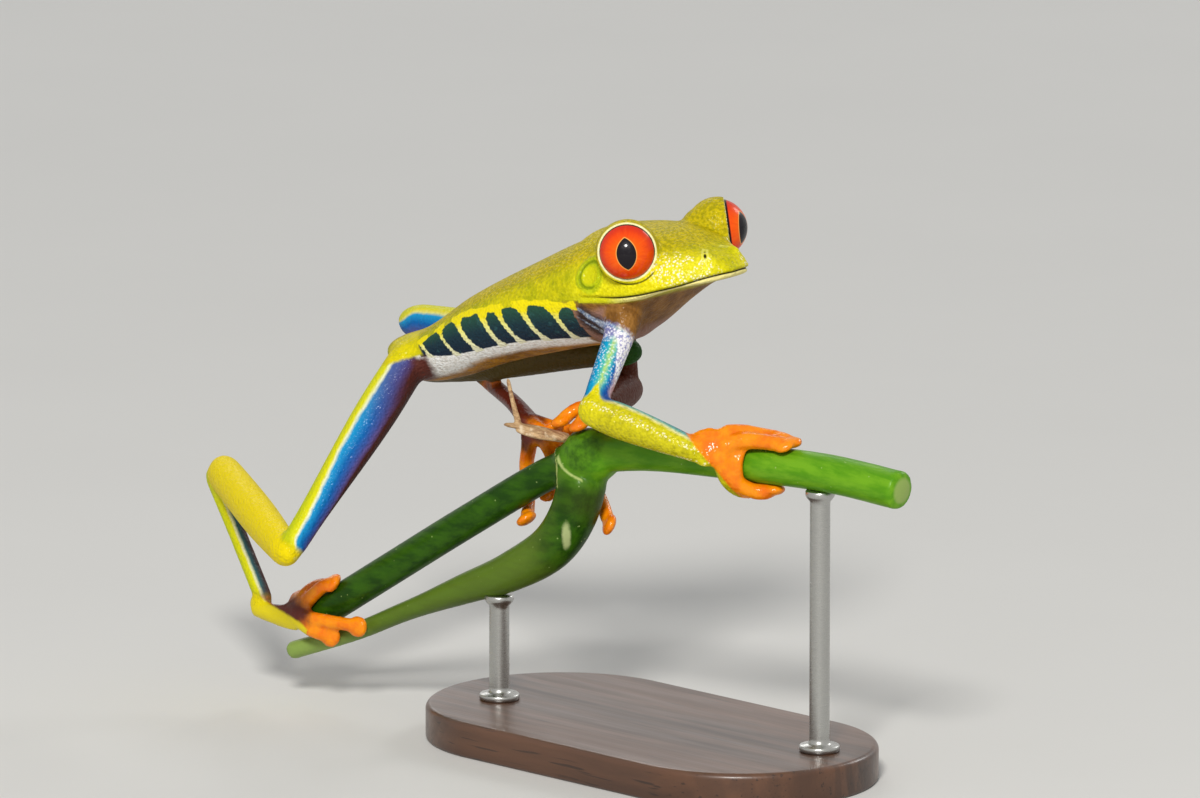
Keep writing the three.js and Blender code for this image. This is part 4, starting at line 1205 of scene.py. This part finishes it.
def eyeball(name, one, rows=90, around=144):
    # a globe on the gaze axis, swollen a little at the front
    turn = math.radians(eye["farTurn"]) if one["sign"] > 0 else 0
    aside = unit(np.cross(headTurn[:, 2], one["gaze"]))
    gaze = unit(one["gaze"] * math.cos(turn) - aside * math.sin(turn))
    sideways = unit(np.cross(headTurn[:, 2], gaze))
    turnBack = np.stack([sideways, np.cross(gaze, sideways), gaze])
    polar = np.pi * (np.arange(1, rows) / rows) ** 1.25
    angle = 2 * np.pi * np.arange(around) / around
    radius = eye["radius"] + eye["bulge"] * bump(polar, eye["bulgeWide"])
    wide, deep = (radius * np.sin(polar))[:, None], (radius * np.cos(polar))[:, None]
    local = np.stack([wide * np.cos(angle), wide * np.sin(angle), deep * np.ones(around)], -1)[::-1]
    ends = arr((0, 0, -eye["radius"]), (0, 0, eye["radius"] + eye["bulge"]))
    points, faces = closedRings(local @ turnBack + one["at"], ends[:1] @ turnBack + one["at"],
                                ends[1:] @ turnBack + one["at"])
    made = meshObject("eyeball_" + name.lower(), points, faces)
    # the pupil is where two equal circles overlap, in the eye's own leaning plane
    x, y, front = np.vstack([local.reshape(-1, 3), ends]).T
    lean = math.radians(eye["pupilLean"] * one["sign"])
    x, y = x * math.cos(lean) - y * math.sin(lean), x * math.sin(lean) + y * math.cos(lean)
    curve = (eye["pupilTall"] ** 2 + eye["pupilHalf"] ** 2) / (2 * eye["pupilHalf"])
    pupil = curve - np.hypot(np.abs(x) + curve - eye["pupilHalf"], y)
    pupil = np.where(front > 0, pupil, -3)
    spin, reach = np.arctan2(y, x), np.hypot(x, y)
    _, _, off = eyeAngles(points, one)
    keep(made, {"pupil": pupil, "pupilEdge": pupil + eye["pupilEdge"], "reach": reach / eye["iris"],
                "limbus": np.radians(off - eye["opening"] + eye["limbus"]) * eye["radius"],
                "height": np.abs(y),
                "fibre": np.stack([np.cos(spin) * 7, np.sin(spin) * 7, reach * 0.8], 1)})
    return made


wet = eyeMaterial()
for name, one in eyes.items():
    finished(eyeball(name, one), wet, "eye", "eye_" + name.lower())


# vine

def vineBody():
    middle = arr(vine["node"])
    solids = [
        tube(vine["rear"], vine["rearGirth"], around=40, rows=120, cap=0.012),
        tube(vine["front"], vine["frontGirth"], around=40, rows=120, cap=0.012),
        tube(vine["petiole"], vine["petioleGirth"], (0, 1, 0), around=40, rows=120, cap=0.012),
        ellipsoid(middle, vine["nodeSize"], around=48, rows=30),
        tube(vine["swelling"], vine["swellingGirth"], around=40),
    ]
    points, quads = fused(solids, 0.3)
    points = relaxed(points, quads, 8, 0.5, back=1.04)
    near = bump(lengths(points - middle), 3.4)
    points = relaxed(points, quads, 20, 0.5 * near)
    triangles = np.vstack([quads[:, [0, 1, 2]], quads[:, [0, 2, 3]]])
    normals = normalsOf(points, triangles)
    # a wavering ridge round the rear side of the node
    off = points - middle
    distance, spin = lengths(off), np.arctan2(off[:, 2], off[:, 1])
    wander = 0.25 * np.sin(3 * spin + 1) + 0.12 * np.sin(7 * spin)
    rings = bump(off @ unit(arr(-1, -0.2, -0.5)) - 3.1 - wander, 0.22) * (distance < 5) * (off[:, 2] > -3)
    # the collar where the petiole leaves the node
    level, height = off @ across, off @ arr(-0.147, 0.147, 0.978)
    collar = np.hypot(level, height - 0.8) - 3.4
    onCollar = least(-0.9 - level, 2.4 - height, off @ towards)
    lifted = bump(collar, 0.28) * smooth(onCollar, -0.3, 0.4)
    points = points + (0.14 * rings + 0.16 * lifted)[:, None] * normals
    fit = {stem: lengths(nearestOn(points, route(vine[stem], 120))[1])
           for stem in ("rear", "front", "petiole")}
    onPetiole = fit["rear"] - fit["petiole"] - 0.2
    cuts = []
    for stem, end, way in vine["cuts"]:
        past = points - arr(vine[stem][end])
        cuts.append(np.minimum(past @ unit(arr(way)) + 0.12, vine["cutReach"] - lengths(past)))
    fromScar = points - arr(vine["scar"])
    scar = 0.42 - np.hypot(fromScar @ across, fromScar[:, 2] / 3.2)
    made = meshObject("vine", points, triangles)
    keep(made, {"rear": fit["front"] - np.minimum(fit["rear"], fit["petiole"]) - 0.5,
                "petiole": np.minimum(onPetiole, (14 - points[:, 0]) * 0.3),
                "paler": np.minimum(onPetiole, (-11 - points[:, 0]) * 0.3),
                "node": 2.9 - distance + 0.25 * off[:, 2],
                "shaded": 2.4 - lengths(points - arr(vine["shade"])),
                "ridge": 0.12 - (1 - rings) * 0.5, "collar": collar, "onCollar": onCollar,
                "scar": np.where(fromScar @ towards > -1.5, scar, -1),
                "cut": np.maximum.reduce(cuts)})
    return made


finished(vineBody(), vineMaterial(), "vine", "perch_node", "perch_stem_rear", "perch_stem_front",
         "perch_petiole")


# the dry bract and its bristle

bract = {
    "root": (15, -3.4, 33.4), "tip": (8.4, -6, 34.3),
    "blade": [[0, 1.1, 0.45], [0.3, 0.9, 0.35], [0.7, 0.6, 0.3], [1, 0.25, 0.2]],
    "fold": [[0, 0.7, 0.4], [0.5, 0.6, 0.3], [1, 0.2, 0.2]],
    "bristle": [(9.9, -5.3, 34.2), (9.2, -5.5, 36.7), (8.6, -5.6, 38.9)],
    "bristleGirth": [[0, 0.36, 0.36], [0.5, 0.24, 0.24], [1, 0.2, 0.2]],
}


def bractBody():
    # a thin arched blade, the fold under it, and the bristle that stands on it
    root, tip = arr(bract["root"]), arr(bract["tip"])
    middle = (root + tip) / 2
    solids = [
        tube([root, middle + arr(0, 0, 0.25), tip], bract["blade"], around=24, rows=50),
        tube([root, middle + arr(0, -0.4, -0.3), tip + arr(1.5, 0.2, -0.4)], bract["fold"],
             around=24, rows=50),
        tube(bract["bristle"], bract["bristleGirth"], (0, 1, 0), around=16, rows=40),
    ]
    points, quads = fused(solids, 0.12)
    return meshObject("dry_bract", relaxed(points, quads, 5, 0.5, back=1.04), quads)


finished(bractBody(), bractMaterial(), "dry_bract", "perch_bract")


# stand

def standBase(around=160):
    # a long rounded outline carried up a profile of insets and heights
    thick, foot, edge = base["thick"], base["foot"], base["edge"]
    bend = np.linspace(0, np.pi / 2, base["facets"])
    insets = np.concatenate([[9, 2, 0.7], foot * (1 - np.sin(bend)), [0, 0],
                             edge * (1 - np.cos(bend)), [2, 9]])
    heights = np.concatenate([[0, 0, 0], foot * (1 - np.cos(bend)), [1.2, 2.4],
                              thick - edge + edge * np.sin(bend), [thick, thick]])
    angle = 2 * np.pi * (np.arange(around) + 0.5) / around
    half = (base["length"] - base["width"]) / 2
    radius = base["width"] / 2 - insets[:, None]
    centre = arr(base["middle"][0], base["middle"][1], base["top"] - thick)
    rings = np.stack([radius * np.cos(angle) + half * np.sign(np.cos(angle)), radius * np.sin(angle),
                      heights[:, None] * np.ones(around)], -1)
    return closedRings(rings + centre, centre[None], centre[None] + arr(0, 0, thick))


# a rod's radius and height: up from the base at its foot, and down from the cup's rim at its top
rods = {"above": 0.7,
        "foot": [(0.9, 0), (1.9, 0), (2, 0.1), (2, 0.5), (1.9, 0.62), (1.25, 0.7), (1.02, 0.95), (1, 1.3)],
        "cup": [(1, -1.4), (1.02, -1.1), (1.35, -0.7), (1.45, -0.5), (1.45, -0.1), (1.35, 0), (0.5, 0)]}


def rod(node, around=48):
    # a turned rod: a low collar on the base, the shaft, and a small cup under the vine
    low, high = (arr(corner) * 1000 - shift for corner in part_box(node))
    x, y = ((low + high) / 2)[:2]
    bottom, top = base["top"], high[2] + rods["above"]
    foot, cup = arr(rods["foot"]), arr(rods["cup"])
    radius = np.concatenate([foot[:, 0], cup[:, 0]])
    height = np.concatenate([bottom + foot[:, 1], top + cup[:, 1]])
    angle = 2 * np.pi * np.arange(around) / around
    rings = np.stack([x + radius[:, None] * np.cos(angle), y + radius[:, None] * np.sin(angle),
                      height[:, None] * np.ones(around)], -1)
    return closedRings(rings, arr([(x, y, bottom)]), arr([(x, y, top)]))


finished(meshObject("stand_plate", *standBase()), woodMaterial(), "base_wood", "stand_base")
steel = steelMaterial()
for place in ("rear", "front"):
    node = "stand_rod_" + place
    finished(meshObject("turned_rod_" + place, *rod(node)), steel, "rod_steel", node)


# floor, light and camera

# the floor and the lamps' sizes are in metres; each lamp's place is measured from the camera's aim
studio = {
    "floor": 4, "paper": [(222, 221, 217), (218, 217, 213)], "patch": 40,
    "wall": (228, 227, 224), "wallStrength": 0.85, "sky": (0.95, 0.97, 1, 1), "skyStrength": 0.32,
    "lamps": {"key": {"offset": (0.5, -0.64, 0.59), "size": 0.2, "energy": 8.2, "color": (1, 0.98, 0.95)},
              "side": {"offset": (-0.8, 0.5, 0.5), "size": 0.5, "energy": 1.2, "color": (1, 1, 1)},
              "back": {"offset": (0, 0.9, 0.5), "size": 0.3, "energy": 1.4, "color": (1, 1, 1)}},
}
camera = {"aim": (23.0, -7.1, 39.2), "distance": 1500, "back": (0.6917, -0.6917, 0.2079),
          "lens": 459, "sensor_width": 36, "clip_start": 0.05, "clip_end": 30}


def floorPiece():
    corners = [(-1, -1, 0), (1, -1, 0), (1, 1, 0), (-1, 1, 0)]
    made = meshObject("floor", arr(corners) * studio["floor"], np.array([[0, 1, 2, 3]]), metres=False)
    paper, tree, shader = material("pale_floor", 0.8)
    tones = [tone(*paint) for paint in studio["paper"]]
    connect(tree, shader, baseColor=mixed(tree, spots(tree, studio["patch"]), *tones))
    made.data.materials.append(paper)
    return made


def studioWorld():
    # a pale wall to the camera and in reflections, and a softer light on everything
    world = bpy.data.worlds.new("studio")
    world.use_nodes = True
    tree = world.node_tree
    tree.nodes.clear()
    path = put(tree, "LightPath")
    seen = maths(tree, "MAXIMUM", path.outputs["Is Camera Ray"], path.outputs["Is Glossy Ray"])
    soft = put(tree, "Background", {"Color": studio["sky"], "Strength": studio["skyStrength"]})
    wall = put(tree, "Background", {"Color": tone(*studio["wall"]), "Strength": studio["wallStrength"]})
    both = put(tree, "MixShader", {0: seen, 1: soft.outputs[0], 2: wall.outputs[0]})
    put(tree, "OutputWorld", {"Surface": both.outputs[0]})
    return world


def pointed(name, data, offset, settings):
    # a lamp or camera at an offset from the aim, in metres, that looks at it
    for key, value in settings.items():
        setattr(data, key, value)
    made = bpy.data.objects.new(name, data)
    scene.collection.objects.link(made)
    made.location = Vector(toFrame(camera["aim"])) + offset
    made.rotation_euler = (-offset).to_track_quat("-Z", "Y").to_euler()
    return made


floorPiece()
scene.world = studioWorld()
for name, lamp in studio["lamps"].items():
    settings = {"shape": "DISK", **lamp}
    offset = Vector(settings.pop("offset"))
    pointed(name, bpy.data.lights.new(name, "AREA"), offset, settings)
back = Vector(camera["back"]).normalized() * camera["distance"] / 1000
view = {key: camera[key] for key in ("lens", "sensor_width", "clip_start", "clip_end")}
scene.camera = pointed("camera", bpy.data.cameras.new("camera"), back, view)
scene.view_settings.view_transform = "Standard"
print("stage, light and camera")
